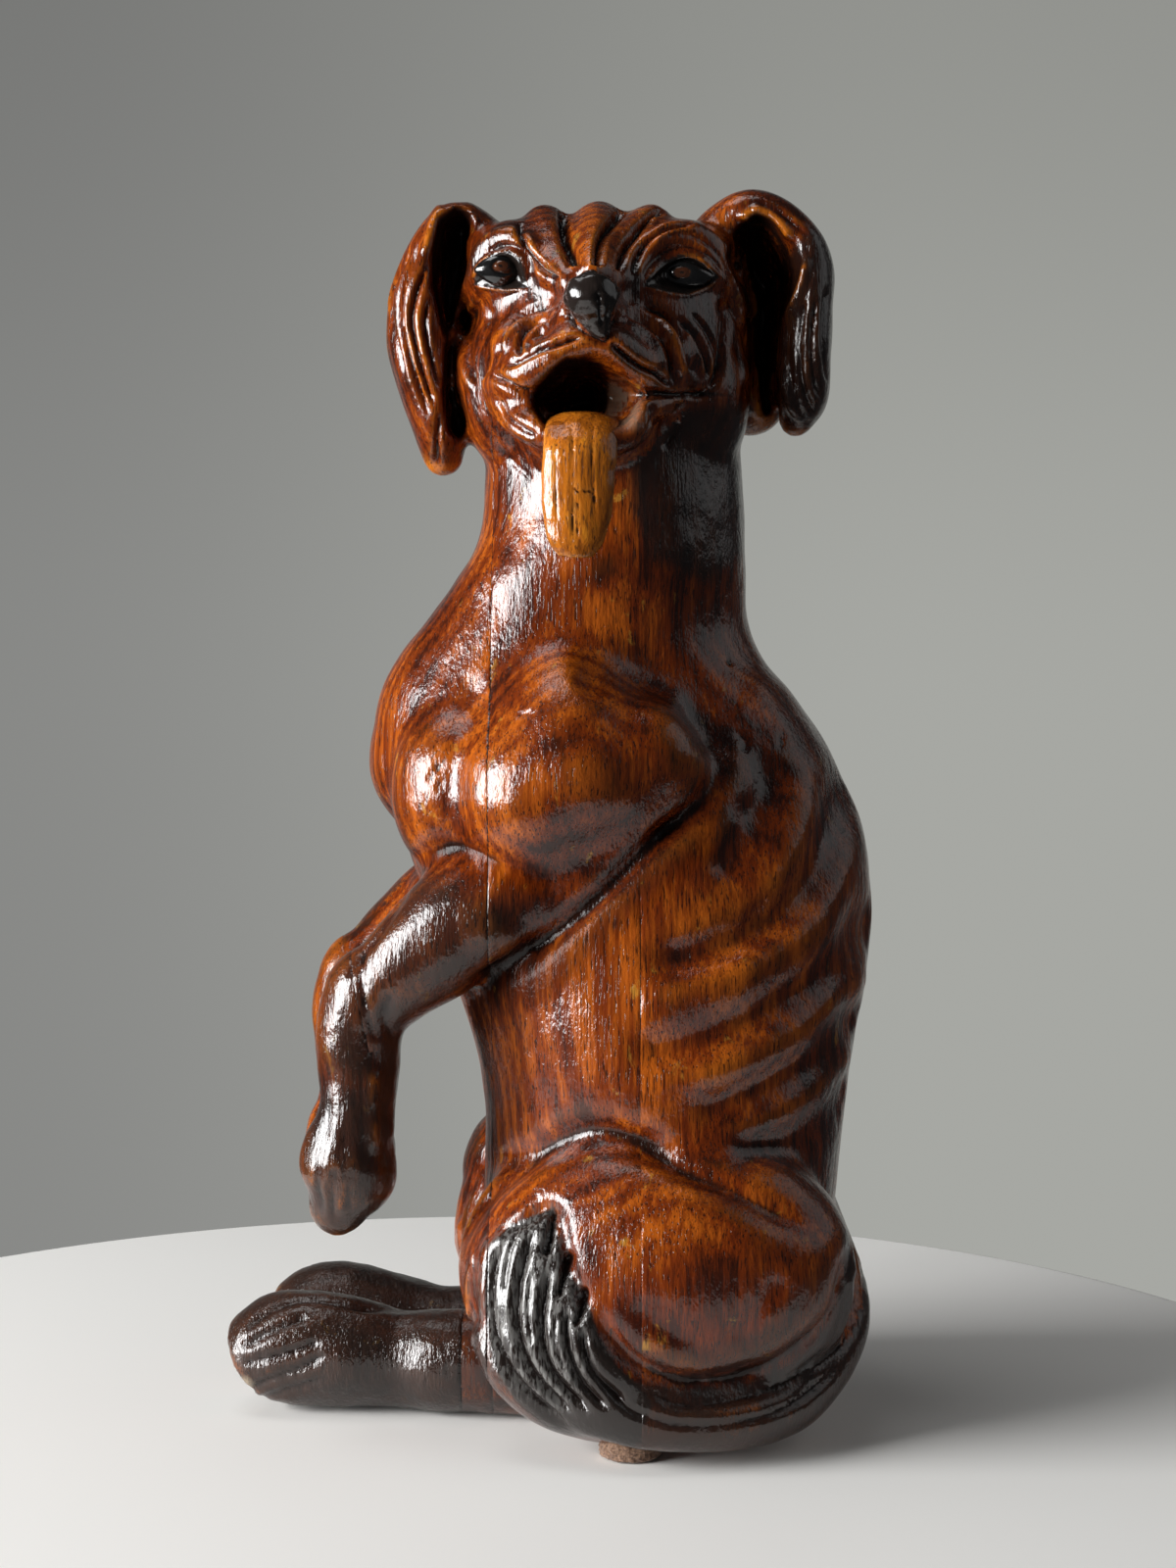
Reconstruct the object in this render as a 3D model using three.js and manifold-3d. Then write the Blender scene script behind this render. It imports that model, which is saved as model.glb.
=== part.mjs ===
// A carved wooden dog that sits up and begs, with its head turned over its left shoulder and its tongue out.
// Three planks, glued face to face from front to back, carry the whole carving. The lower forelegs and
// the hind feet are carved apart, and each is glued and dowelled on. The tongue and the eyes are let in,
// and two round pads under the haunches keep the wood off the table.
// Millimetres, +Z up. -Y is the way the hind feet point, +X is the dog's left, the side it looks to.

import * as THREE from "three";
import { mergeVertices } from "three/addons/utils/BufferGeometryUtils.js";
import Module from "manifold-3d";

const wasm = await Module();
wasm.setup();

// Driving sizes.
const glueGap = 0.3; // room round each piece that is let in
const stockReach = 400; // the planks' stock, past the carving on every side

const frontSeam = -21; // glue line between the front and the middle plank
const rearSeam = 11; // glue line between the middle and the rear plank
const neckCover = 2.4; // wood of the front plank left over the neck

const trunkWiden = 1; // share of the trunk's half widths
const headAt = [1, 3.5, 239]; // middle of the skull
const skullHalf = [32, 33.5, 31.5];
const muzzleReach = 43; // from the skull's middle to the front of the lips
const faceLean = -2.5; // the face's middle line lies this far from the skull's

const noseHalf = [6, 6.8, 5.8];
const noseRise = 1.5;

const eyeSpread = 18.6; // from the face's middle line to each eye
const eyeRise = 10.5; // above the skull's middle
const eyeHalf = [4.5, 7.4, 4.4];
const eyeDepth = 26; // from the skull's middle to the eye's middle

const mouthHalf = [15, 10.5, 7.2];
const tongueHalfWidth = 8.4;
const tongueHalfDepth = 3.2;
const tongueHang = 31; // from the lower lip to the tongue's tip
const tongueRoot = 15; // length held in the mouth

const armSpread = 22; // from the chest's middle plane to each foreleg
const farArmAhead = 7; // the right foreleg reaches further forward
const farPawBack = 3.5; // its paw hangs a little further back than that, and lower
const farPawDrop = 4;
const wristHalf = 9.3;
const forearmDrop = 49; // from the wrist joint's middle to the paw's tip
const wristJoint = [-48.2, 92]; // y and z of the middle of the joint
const wristTilt = 12; // degrees that the joint face leans

const footTop = 25.4; // height of the toes
const footHalfWidth = 11.5;
const footReach = 52; // from the ankle joint to the toe tips
const ankleSeam = -28; // the joint face between leg and foot
const ankleHeight = 10.4; // middle of the joint above the table
const ankleHalf = [9.6, 11];
const leftFootX = 4;
const rightFootX = -31;
const toesAside = -6; // both feet point a little to the dog's right
const rightFootBack = 5.5; // the right foot stops short of the left

const dowelRadius = 2.5;
const dowelHalfLength = 8;

const padRadius = 7;
const padThick = 4.4;
const padSpread = 36; // from the trunk's middle plane to each pad
const padY = 9;

// Materials.
const wood = (name, color, roughness) =>
  Object.assign(new THREE.MeshStandardMaterial({ color, roughness, metalness: 0 }), { name });
const lacqueredWood = wood("lacquered_wood", 0x6e2a12, 0.3);
const darkFootWood = wood("dark_foot_wood", 0x2c1a14, 0.35);
const tongueWood = wood("tongue_wood", 0xa8621c, 0.4);
const dowelWood = wood("dowel_wood", 0xb08a58, 0.7);
const eyeHorn = wood("eye_horn", 0x181a18, 0.15);
const padFelt = wood("pad_felt", 0x5a3a2c, 0.95);

// Geometry in, solid out: only the positions are kept, with shared corners merged.
function solid(geometry) {
  const bare = geometry.clone();
  bare.deleteAttribute("normal");
  bare.deleteAttribute("uv");
  const merged = mergeVertices(bare, 1e-4);
  return new wasm.Manifold(
    new wasm.Mesh({
      numProp: 3,
      vertProperties: new Float32Array(merged.attributes.position.array),
      triVerts: new Uint32Array(merged.index.array),
    }),
  );
}

// Solid in, named mesh out.
function piece(name, body, material) {
  const cut = body.getMesh();
  const geometry = new THREE.BufferGeometry();
  geometry.setAttribute("position", new THREE.BufferAttribute(new Float32Array(cut.vertProperties), 3));
  geometry.setIndex(new THREE.BufferAttribute(new Uint32Array(cut.triVerts), 1));
  geometry.computeVertexNormals();
  const mesh = new THREE.Mesh(geometry, material);
  mesh.name = name;
  return mesh;
}

const joined = (bodies) => bodies.reduce((whole, next) => whole.add(next));

// An ellipsoid: its middle, its three half sizes, and its turn about X, Y and Z in degrees.
function lump(at, half, turn = [0, 0, 0], round = 14) {
  const ball = new THREE.SphereGeometry(1, round, Math.round(round * 0.6));
  ball.rotateX(Math.PI / 2);
  ball.scale(...half);
  ball.rotateX(THREE.MathUtils.degToRad(turn[0]));
  ball.rotateY(THREE.MathUtils.degToRad(turn[1]));
  ball.rotateZ(THREE.MathUtils.degToRad(turn[2]));
  ball.translate(...at);
  return solid(ball);
}

// A closed skin over rings of points, with a point at each end.
function skin(rings, startPole, endPole) {
  const sides = rings[0].length;
  const points = [startPole, ...rings.flat(), endPole];
  const last = points.length - 1;
  const at = (ring, side) => 1 + ring * sides + (side % sides);
  const faces = [];
  for (let side = 0; side < sides; side++) {
    faces.push(0, at(0, side + 1), at(0, side));
    faces.push(last, at(rings.length - 1, side), at(rings.length - 1, side + 1));
    for (let ring = 0; ring + 1 < rings.length; ring++) {
      faces.push(at(ring, side), at(ring, side + 1), at(ring + 1, side + 1));
      faces.push(at(ring, side), at(ring + 1, side + 1), at(ring + 1, side));
    }
  }
  const geometry = new THREE.BufferGeometry().setFromPoints(points);
  geometry.setIndex(faces);
  const body = solid(geometry);
  if (body.volume() > 0) return body;
  const turned = [];
  for (let i = 0; i < faces.length; i += 3) turned.push(faces[i], faces[i + 2], faces[i + 1]);
  geometry.setIndex(turned);
  return solid(geometry);
}

// A limb with rounded ends along a smooth line. A station is [x, y, z, half width, half depth], and the
// width lies along across. Level rings stay flat instead of square to the line.
function limb(stations, { across = [1, 0, 0], level = false, sides = 14, steps = 2, grow = 0 } = {}) {
  const line = new THREE.CatmullRomCurve3(
    stations.map(([x, y, z]) => new THREE.Vector3(x, y, z)), false, "catmullrom", 0.5);
  const girth = new THREE.CatmullRomCurve3(
    stations.map((s) => new THREE.Vector3(s[3] + grow, s[4] + grow, 0)), false, "catmullrom", 0.5);
  const acrossVector = new THREE.Vector3(...across);
  const count = (stations.length - 1) * steps;
  const caps = [65, 35];
  const places = [];
  const place = (t, degrees) => {
    const away = level
      ? new THREE.Vector3(0, 0, Math.sign(stations.at(-1)[2] - stations[0][2]))
      : line.getTangent(t);
    const half = girth.getPoint(t);
    const lift = Math.sin(THREE.MathUtils.degToRad(degrees)) * Math.min(half.x, half.y);
    const shrink = Math.cos(THREE.MathUtils.degToRad(degrees));
    const middle = line.getPoint(t).addScaledVector(away, t > 0.5 ? lift : -lift);
    const wide = acrossVector.clone().addScaledVector(away, -acrossVector.dot(away)).normalize();
    const deep = new THREE.Vector3().crossVectors(away, wide);
    places.push({ middle, wide: wide.multiplyScalar(half.x * shrink), deep: deep.multiplyScalar(half.y * shrink) });
  };
  caps.forEach((degrees) => place(0, degrees));
  for (let i = 0; i <= count; i++) place(i / count, 0);
  [...caps].reverse().forEach((degrees) => place(1, degrees));
  const rings = places.map(({ middle, wide, deep }) =>
    Array.from({ length: sides }, (_, k) => {
      const a = (2 * Math.PI * k) / sides;
      return middle.clone().addScaledVector(wide, Math.cos(a)).addScaledVector(deep, Math.sin(a));
    }));
  const pole = (t) => {
    const half = girth.getPoint(t);
    const away = level
      ? new THREE.Vector3(0, 0, Math.sign(stations.at(-1)[2] - stations[0][2]))
      : line.getTangent(t);
    return line.getPoint(t).addScaledVector(away, (t > 0.5 ? 1 : -1) * Math.min(half.x, half.y));
  };
  return skin(rings, pole(0), pole(1));
}

// A half space as a large box: everything on the far side of a plane through a point.
function beyond(point, direction) {
  const box = new THREE.BoxGeometry(2 * stockReach, 2 * stockReach, 2 * stockReach);
  box.translate(0, 0, stockReach);
  const turn = new THREE.Quaternion().setFromUnitVectors(
    new THREE.Vector3(0, 0, 1), new THREE.Vector3(...direction).normalize());
  box.applyQuaternion(turn);
  box.translate(...point);
  return solid(box);
}

// A round peg about a point, along a direction.
function peg(point, direction, radius, halfLength, sides = 16) {
  const rod = new THREE.CylinderGeometry(radius, radius, 2 * halfLength, sides);
  const turn = new THREE.Quaternion().setFromUnitVectors(
    new THREE.Vector3(0, 1, 0), new THREE.Vector3(...direction).normalize());
  rod.applyQuaternion(turn);
  rod.translate(...point);
  return solid(rod);
}

// How far a ray runs before it leaves an ellipsoid, given as its middle, half sizes and turn about Z.
function exit(from, along, [at, half, turn = 0]) {
  const size = new THREE.Vector3(...half);
  const up = new THREE.Vector3(0, 0, 1);
  const angle = -THREE.MathUtils.degToRad(turn);
  const start = from.clone().sub(new THREE.Vector3(...at)).applyAxisAngle(up, angle).divide(size);
  const way = along.clone().applyAxisAngle(up, angle).divide(size);
  const b = start.dot(way);
  const root = b * b - way.dot(way) * (start.dot(start) - 1);
  return root < 0 ? 0 : Math.max(0, (Math.sqrt(root) - b) / way.dot(way));
}

// The outermost of several reaches, eased where two of them meet.
const eased = (reaches, soft) => soft * Math.log(reaches.reduce((sum, r) => sum + Math.exp(r / soft), 0));

// The trunk and neck: height, front, back and half width of each level section.
const neckFront = frontSeam - neckCover;
const trunkSections = [
  [8, -10, 44, 30], [17, -21, 50, 37], [30, -22.5, 53, 40], [46, -23.5, 55.5, 39], [58, -23.2, 56.8, 38.5],
  [70, -23.4, 58.2, 38.5], [82, -25.5, 59.8, 39.5], [95, -29.5, 62.3, 39.2], [108, -34, 63.9, 38.6],
  [120, -38.5, 63.9, 37.6], [132, -42.4, 62, 36.6], [143, -46, 57.4, 36], [153, -48.2, 52.2, 34.5],
  [162, -47, 45.8, 33.5], [170, -42.8, 39.2, 32], [178, -36.6, 36.2, 29.6], [187, -30, 35.8, 27.8],
  [197, neckFront - 1.2, 35.6, 27], [210, neckFront, 35, 26.4], [224, neckFront + 0.4, 34, 26],
];

// Breast and shoulder muscles, as ellipsoids that the trunk's skin is drawn over.
const muscles = [
  [[-1, -29.4, 147], [20, 20.4, 20]],
  ...[1, -1].flatMap((side) => [
    [[side * 18.4, side * 0.5 - 2.1, 142.4], [28.4, 24.4, 19.6]],
    [[side * 12, side * 0.5 - 3.5, 150], [33, 23, 29]],
    [[side * 27, side * 0.5 + 12.9, 147], [16, 13.4, 14]],
  ]),
];

// Carving on both flanks, as lines of [y, z]. The hollows are cut in, and the ribs stand out.
const reliefFrom = 12; // this far from the middle plane the lines begin to show
const reliefFull = 22;
const ribHalf = 7; // from a rib's crest to where it ends
const ribRise = 1.2;
const hollowHalf = 6.5;
const hollowDepth = 1.9;
const shoulderHollowHalf = 8;
const shoulderHollowDepth = 2;
const ribLines = [
  [[28.7, 164.8], [39, 154.3], [46, 141], [45.6, 129.7], [40.7, 119.4], [33.9, 113.3]],
  [[55, 133.2], [53.4, 122.5], [48.9, 113.3], [41.1, 106.5], [30.8, 101.2], [18.5, 97.9], [9.2, 97.5]],
  [[57.5, 110.2], [53.8, 99.9], [46.4, 91.7], [38, 86.4], [28.7, 82.3], [18.5, 79.4]],
  [[56.7, 89.7], [51.3, 80.2], [44.1, 74.1], [34.9, 70.4], [24.6, 67.9]],
];
const hollowLines = [
  [[51.3, 146.1], [50.9, 132.8], [45.6, 120.5], [38, 112.3], [29.8, 107.7], [20.5, 104.4], [10.3, 103.2]],
  [[40.7, 146.7], [38.2, 137.9], [32.4, 129.1], [26.3, 120.5]],
  [[58.7, 120.5], [55, 106.5], [48.3, 99.9], [41.1, 95.4], [33.9, 91.1], [18.5, 86], [6.2, 83.9]],
  [[58.3, 97.9], [51.3, 87.6], [47.2, 83.5], [41.1, 79.4], [34.9, 76.3], [20.5, 71.8]],
];
const shoulderLines = [
  [[18.5, 160.5], [24.9, 154.3], [27.5, 146.7], [25.7, 139.8], [19.6, 133.2], [11.2, 126.3], [3.3, 118.6],
    [-8.2, 109], [-20.4, 100.4]],
];

const smooth = (low, high, value) => THREE.MathUtils.smoothstep(value, low, high);

// How much of a line's relief is felt at a point: 1 on the line, 0 at its half width, and fading to both ends.
function nearness(line, half, y, z) {
  const spot = new THREE.Vector2(y, z);
  let felt = 0;
  for (let i = 0; i + 1 < line.length; i++) {
    const a = new THREE.Vector2(...line[i]);
    const run = new THREE.Vector2(...line[i + 1]).sub(a);
    const t = THREE.MathUtils.clamp(spot.clone().sub(a).dot(run) / run.lengthSq(), 0, 1);
    const r = Math.min(1, a.addScaledVector(run, t).distanceTo(spot) / half);
    const along = (i + t) / (line.length - 1);
    felt = Math.max(felt, (1 - r * r) ** 2 * smooth(0, 0.15, along) * smooth(0, 0.15, 1 - along));
  }
  return felt;
}

function relief(x, y, z) {
  const sum = (lines, half) => lines.reduce((total, line) => total + nearness(line, half, y, z), 0);
  return smooth(reliefFrom, reliefFull, Math.abs(x)) * (ribRise * sum(ribLines, ribHalf)
    - hollowDepth * sum(hollowLines, hollowHalf) - shoulderHollowDepth * sum(shoulderLines, shoulderHollowHalf));
}

function trunk() {
  const sides = 48;
  const step = 4;
  const heights = trunkSections.map(([z]) => z);
  const shape = new THREE.CatmullRomCurve3(trunkSections.map(([z, front, back, half]) =>
    new THREE.Vector3(z, (front + back) / 2, (back - front) / 2)), false, "catmullrom", 0.5);
  const width = new THREE.CatmullRomCurve3(trunkSections.map(([z, , , half]) =>
    new THREE.Vector3(z, half * trunkWiden, 0)), false, "catmullrom", 0.5);
  const rings = [];
  const count = Math.round((heights.at(-1) - heights[0]) / step);
  for (let i = 0; i <= count; i++) {
    const { x: z, y: middle, z: depth } = shape.getPoint(i / count);
    const half = width.getPoint(i / count).y;
    const from = new THREE.Vector3(0, middle, z);
    rings.push(Array.from({ length: sides }, (_, k) => {
      const a = (2 * Math.PI * k) / sides;
      const along = new THREE.Vector3(Math.cos(a), Math.sin(a), 0);
      const plain = exit(from, along, [from.toArray(), [half, depth, 1]]);
      const reach = eased([plain, ...muscles.map((muscle) => exit(from, along, muscle))], 1.8);
      const spot = from.clone().addScaledVector(along, reach);
      return spot.addScaledVector(along, relief(spot.x, spot.y, spot.z));
    }));
  }
  const end = (ring, lift) => {
    const middle = ring.reduce((sum, v) => sum.add(v), new THREE.Vector3()).divideScalar(ring.length);
    return middle.add(new THREE.Vector3(0, 0, lift));
  };
  return skin(rings, end(rings[0], -4), end(rings.at(-1), 4));
}

// The haunches, and the leg under each that runs out to the foot. The right knee is drawn up in front.
const rightKnee = [[-27, -15.5, 49], [17, 14.5, 16]]; // its middle and half sizes
const haunchAt = [25.8, 12.8, 36.5];
const haunchHalf = [25.3, 43.2, 33];
const haunchTurn = 4; // degrees that each haunch opens towards the back
const thighHalf = [17, 32, 22.4]; // the swell that carries the pad

function haunch(side) {
  return joined([
    ...(side < 0 ? [lump(...rightKnee)] : []),
    lump([side * haunchAt[0], haunchAt[1] + side * 1.8, haunchAt[2]], haunchHalf, [0, 0, side * -haunchTurn], 26),
    lump([side * padSpread * 0.97, padY, padThick + 19.4], thighHalf, [0, 0, 0], 18),
    limb([[side * 18 - 4, 20, 13, 12, 11], [footXOf(side) + side * 3, -5, 12, 11, 12],
      [footXOf(side), ankleSeam + 2, ankleHeight, ...ankleHalf],
      [footXOf(side), ankleSeam - 10, ankleHeight, ...ankleHalf]]),
  ]);
}

const footXOf = (side) => (side > 0 ? leftFootX : rightFootX);
const footBackOf = (side) => (side > 0 ? 0 : rightFootBack);

// A hind foot: it runs out level from the ankle and swells at the toes. The table cuts its sole flat.
function hindFoot(side) {
  const x = footXOf(side);
  const toes = ankleSeam - footReach + footBackOf(side);
  const half = footTop / 2;
  return limb([[x, ankleSeam + 8, ankleHeight, ...ankleHalf], [x, ankleSeam - 8, ankleHeight, ...ankleHalf],
    [x + toesAside * 0.5, toes + 28, half * 0.92, footHalfWidth * 0.94, half * 0.97],
    [x + toesAside * 0.8, toes + 15, half * 0.95, footHalfWidth, half * 1.05],
    [x + toesAside, toes + 9, half * 0.8, footHalfWidth * 0.86, half * 0.84]]);
}

// The tail, from the root behind, round the left haunch, to the brush that lies on the thigh.
const tailGirth = 6.8;
const brushThick = 7;

function tail() {
  const girth = [tailGirth, tailGirth * 0.92];
  return joined([
    limb([[-6, 51, 46, ...girth], [2, 54, 38, ...girth], [12, 56.4, 26, ...girth], [24, 52, 16, ...girth],
      [35, 42, 10.4, ...girth], [43, 27, 9.4, ...girth], [45, 12, 10.4, ...girth], [45, 2, 15, ...girth]],
    { across: [0, 0, 1] }),
    limb([[44, 5, 12, 8, brushThick], [44, -5, 20, 11, brushThick], [42.5, -10, 31, 14, brushThick],
      [39.5, -12, 43, 12, brushThick], [37, -11, 50, 7, brushThick * 0.8]], { across: [0, 1, 0] }),
  ]);
}

// One foreleg's stations: side is 1 for the left.
function armLine(side) {
  const ahead = side > 0 ? 0 : -farArmAhead;
  const x = (left) => side * (left + armSpread);
  const [jointY, jointZ] = [wristJoint[0] + ahead, wristJoint[1]];
  const [back, drop] = side > 0 ? [0, 0] : [farPawBack, farPawDrop];
  const down = (share, out, forward, ...half) =>
    [x(out), jointY - forward + back * share, jointZ - share * (forearmDrop + drop), ...half];
  return {
    upper: [[x(2), 12 + ahead, 131, 9, 6], [x(4.8), 0 + ahead, 123, 11, 8.4],
      [x(6.4), -12 + ahead, 117, 12, 11], [x(6.8), -24 + ahead, 111.8, 12.4, 12.4],
      [x(5), jointY + 13, jointZ + 14.6, 11.6, 12.6], [x(3), jointY + 5.6, jointZ + 7.6, 10.2, 11],
      [x(1.6), jointY + 0.4, jointZ - 0.4, wristHalf, wristHalf],
      [x(1.4), jointY - 1.4, jointZ - 8, wristHalf, wristHalf]],
    lower: [[x(1.8), jointY + 1.4, jointZ + 6, wristHalf, wristHalf], down(0.05, 1, 1, wristHalf, wristHalf),
      down(0.3, 0.4, 1.4, 8.8, 8.8), down(0.5, 0, 1.9, 9.2, 8.6), down(0.68, -0.6, 3.7, 10.6, 10.4),
      down(0.86, -1, 4.8, 9.6, 9)],
    joint: [x(1), jointY, jointZ],
  };
}

const tiltRadians = THREE.MathUtils.degToRad(wristTilt);
const wristNormal = [0, -Math.cos(tiltRadians), -Math.sin(tiltRadians)];

// The head: skull, brows, cheeks, lips, chin and nose, as ellipsoids under one skin.
const headPoint = (forward, left, up) => [headAt[0] + forward, headAt[1] + left, headAt[2] + up];
const features = [
  [headPoint(0, 0, 0), skullHalf],
  [headPoint(8, -17, 17), [19, 14, 12.5]],
  [headPoint(8, 15, 17), [19, 14, 12.5]],
  [headPoint(muzzleReach - 21, faceLean, -12), [18, 21, 16]],
  [headPoint(muzzleReach - 12, faceLean - 9, -7), [11, 11.5, 8]],
  [headPoint(muzzleReach - 12, faceLean + 9, -7), [11, 11.5, 8]],
  [headPoint(muzzleReach - 20, faceLean, -25), [15, 16, 11]],
  [headPoint(muzzleReach - 20, faceLean, 1), [19, 10, 7.5]],
  [headPoint(6, -21, -10), [17, 12.5, 20]],
  [headPoint(6, 18, -12), [17, 14.5, 21]],
];

const headFrom = new THREE.Vector3(...headPoint(2, -1, -2));
const headReach = (along) => eased(features.map((feature) => exit(headFrom, along, feature)), 1.1);

// The point of the head's skin in one direction: turn from the face's middle line, and rise, in degrees.
function onHead(turn, rise, sink = 0) {
  const t = THREE.MathUtils.degToRad(turn);
  const r = THREE.MathUtils.degToRad(rise);
  const along = new THREE.Vector3(Math.cos(r) * Math.cos(t), Math.cos(r) * Math.sin(t), Math.sin(r));
  return headFrom.clone().addScaledVector(along, headReach(along) - sink);
}

function head() {
  const sides = 40;
  const rows = 24;
  const rings = [];
  for (let row = 1; row < rows; row++) {
    const rise = 90 - (180 * row) / rows;
    rings.push(Array.from({ length: sides }, (_, k) => onHead((360 * k) / sides, rise)));
  }
  const nose = lump(headPoint(muzzleReach, faceLean, noseRise), noseHalf);
  const mouth = lump(headPoint(muzzleReach - 6, faceLean, -16), mouthHalf);
  return skin(rings, onHead(0, 90), onHead(0, -90)).add(nose).subtract(mouth);
}

// A shallow groove through points, or through directions of turn and rise on the head.
const groove = (points, half = 1) => limb(
  points.map((point) => [...point, half, half]), { across: [0, 1, 0], sides: 6 });
const headGroove = (directions, half = 1.3) => groove(
  directions.map(([turn, rise]) => onHead(turn, rise).toArray()), half);

// Brow wrinkles from the crown to the root of the nose, and the folds that run back from the lips.
function faceGrooves() {
  return joined([
    headGroove([[-48, 55], [-28, 38], [-12, 16]]),
    headGroove([[-16, 62], [-10, 40], [-5, 18]]),
    headGroove([[22, 62], [13, 40], [3, 18]]),
    headGroove([[50, 52], [32, 36], [9, 16]]),
    headGroove([[-22, -2], [-34, -10], [-44, -22]], 1),
    headGroove([[14, 2], [30, -8], [40, -24]], 1),
    headGroove([[34, 4], [46, -8], [54, -26]], 1),
  ]);
}

// An ear: a bridge off the crown, a flap that hangs beside the cheek, and a web that closes the back.
const ears = {
  left: {
    flap: [[0, 26, 267, 9, 5], [2, 36, 270.4, 11, 5], [3, 45.6, 264, 12, 6], [3, 48.6, 251, 13, 5.4],
      [3, 48.6, 237, 13, 5.2], [2.5, 48, 226, 10, 4.6], [2, 46.4, 222.6, 7, 4]],
    web: [[-4, 34, 262, 5, 9], [-5, 38, 246, 5, 10], [-5, 40, 229, 4.6, 8]],
    hollow: [[10, 37, 256, 11, 5], [10, 39, 244, 11.4, 5.4], [10, 40, 231, 10, 4.6]],
  },
  right: {
    flap: [[0, -21, 265, 9, 5], [2, -29, 268, 11, 5], [3, -35.6, 260, 12, 5.4], [3, -39.2, 249, 13, 5.2],
      [3, -38.4, 237, 13, 5.2], [2.5, -35, 224, 10, 4.8], [2, -32.6, 215, 6, 4]],
    web: [[-4, -25, 260, 5, 9], [-5, -29, 244, 5, 9], [-5, -29, 226, 4.6, 7]],
    hollow: [[10, -29, 254, 11, 4.6], [10, -31, 243, 11.4, 4.8], [10, -30, 230, 10, 4.2]],
  },
};

function ear({ flap, web, hollow }) {
  return joined([limb(flap), limb(web)]).subtract(limb(hollow));
}

// The tongue lies in the mouth, bends over the lower lip and hangs down the throat.
function tongue(grow = 0) {
  const lip = muzzleReach - 6;
  const rim = -21.5;
  const girth = [tongueHalfWidth, tongueHalfDepth];
  return limb([
    [...headPoint(lip - tongueRoot, faceLean, rim - 0.5), tongueHalfWidth * 0.8, tongueHalfDepth * 0.8],
    [...headPoint(lip - 5, faceLean, rim + 0.5), ...girth],
    [...headPoint(lip + 1.5, faceLean, rim - 2.5), ...girth],
    [...headPoint(lip + 1.5, faceLean, rim - 0.45 * tongueHang), ...girth],
    [...headPoint(lip - 1, faceLean, rim - 0.92 * tongueHang), tongueHalfWidth * 0.72, tongueHalfDepth * 0.8],
  ], { across: [0, 1, 0], grow, steps: 3 });
}

// An eye: an almond let into the face.
const eyeAt = (side) => headPoint(eyeDepth, side * eyeSpread + faceLean, eyeRise);
const eyeTurn = (side) => [side * 8, -18, side * 26];

// Carved hair and toes: grooves in the brush of the tail, the ear flaps and the four paws.
const brushGrooves = () => joined([[-19, 2], [-13, 4], [-7, 3], [0, -2]].map(([y, lean]) =>
  groove([[46.5, y + 8, 14], [48.5, y + 2, 24], [48.5, y, 34], [47, y + lean * 0.4, 46], [42, y + lean, 58]], 1.1)));

const earGrooves = () => joined([1, -1].flatMap((side) => [-2, 4, 10].map((forward) => {
  const { flap } = side > 0 ? ears.left : ears.right;
  return groove(flap.slice(2, 6).map(([x, y, z, , thick]) => [x + forward * 0.8, y + side * (thick + 0.1), z]), 0.9);
})));

const toeGrooves = (side) => joined([-0.5, 0, 0.5].map((share) => {
  const x = footXOf(side) + toesAside;
  const toes = ankleSeam - footReach + footBackOf(side);
  return groove([[x + share * footHalfWidth * 1.3 + 3, toes + 26, footTop - 1 - 3 * Math.abs(share)],
    [x + share * footHalfWidth * 1.1, toes + 10, footTop - 2 - 5 * Math.abs(share)],
    [x + share * footHalfWidth * 0.9, toes + 1, footTop * 0.6], [x + share * footHalfWidth * 0.8, toes, 3]], 1.2);
}));

// The whole outside, before it is parted into its pieces.
const footings = joined([haunch(1), haunch(-1), tail()]);
const arms = joined([limb(armLine(1).upper), limb(armLine(-1).upper)]);
const headAndEars = joined([head(), ear(ears.left), ear(ears.right)]);
const table = beyond([0, 0, 0], [0, 0, -1]);

const tonguePocket = tongue(glueGap);
const eyeSockets = joined([1, -1].map((side) =>
  lump(eyeAt(side), eyeHalf.map((half) => half + glueGap), eyeTurn(side), 18)));

const padAt = (side) => [side * padSpread, padY, padThick / 2];
const padSeats = joined([1, -1].map((side) =>
  peg(padAt(side), [0, 0, 1], padRadius + glueGap, padThick / 2, 28)));

const wristDowel = (side, radius, halfLength) =>
  peg(armLine(side).joint, wristNormal, radius, halfLength);
const ankleDowel = (side, radius, halfLength) =>
  peg([footXOf(side), ankleSeam, ankleHeight], [0, 1, 0], radius, halfLength);
const dowelHoles = joined([1, -1].flatMap((side) => [
  wristDowel(side, dowelRadius + glueGap, dowelHalfLength + glueGap),
  ankleDowel(side, dowelRadius + glueGap, dowelHalfLength + glueGap),
]));

// What lies past a joint belongs to the foreleg or foot, and is cut away from the planks there.
const pastWrist = (side) => beyond(armLine(side).joint, wristNormal);
const pastAnkle = beyond([0, ankleSeam, 0], [0, -1, 0]);

const overFeet = beyond([0, 0, ankleHeight + ankleHalf[1] + glueGap], [0, 0, 1]);
const legStubs = footings.subtract(pastAnkle.subtract(overFeet));

const carved = joined([
  joined([trunk(), legStubs, headAndEars]),
  limb(armLine(1).upper).subtract(pastWrist(1)),
  limb(armLine(-1).upper).subtract(pastWrist(-1)),
])
  .subtract(table)
  .subtract(faceGrooves())
  .subtract(brushGrooves())
  .subtract(earGrooves())
  .subtract(tonguePocket)
  .subtract(eyeSockets)
  .subtract(padSeats)
  .subtract(dowelHoles);

const inFront = beyond([0, frontSeam, 0], [0, -1, 0]);
const behind = beyond([0, rearSeam, 0], [0, 1, 0]);

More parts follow.
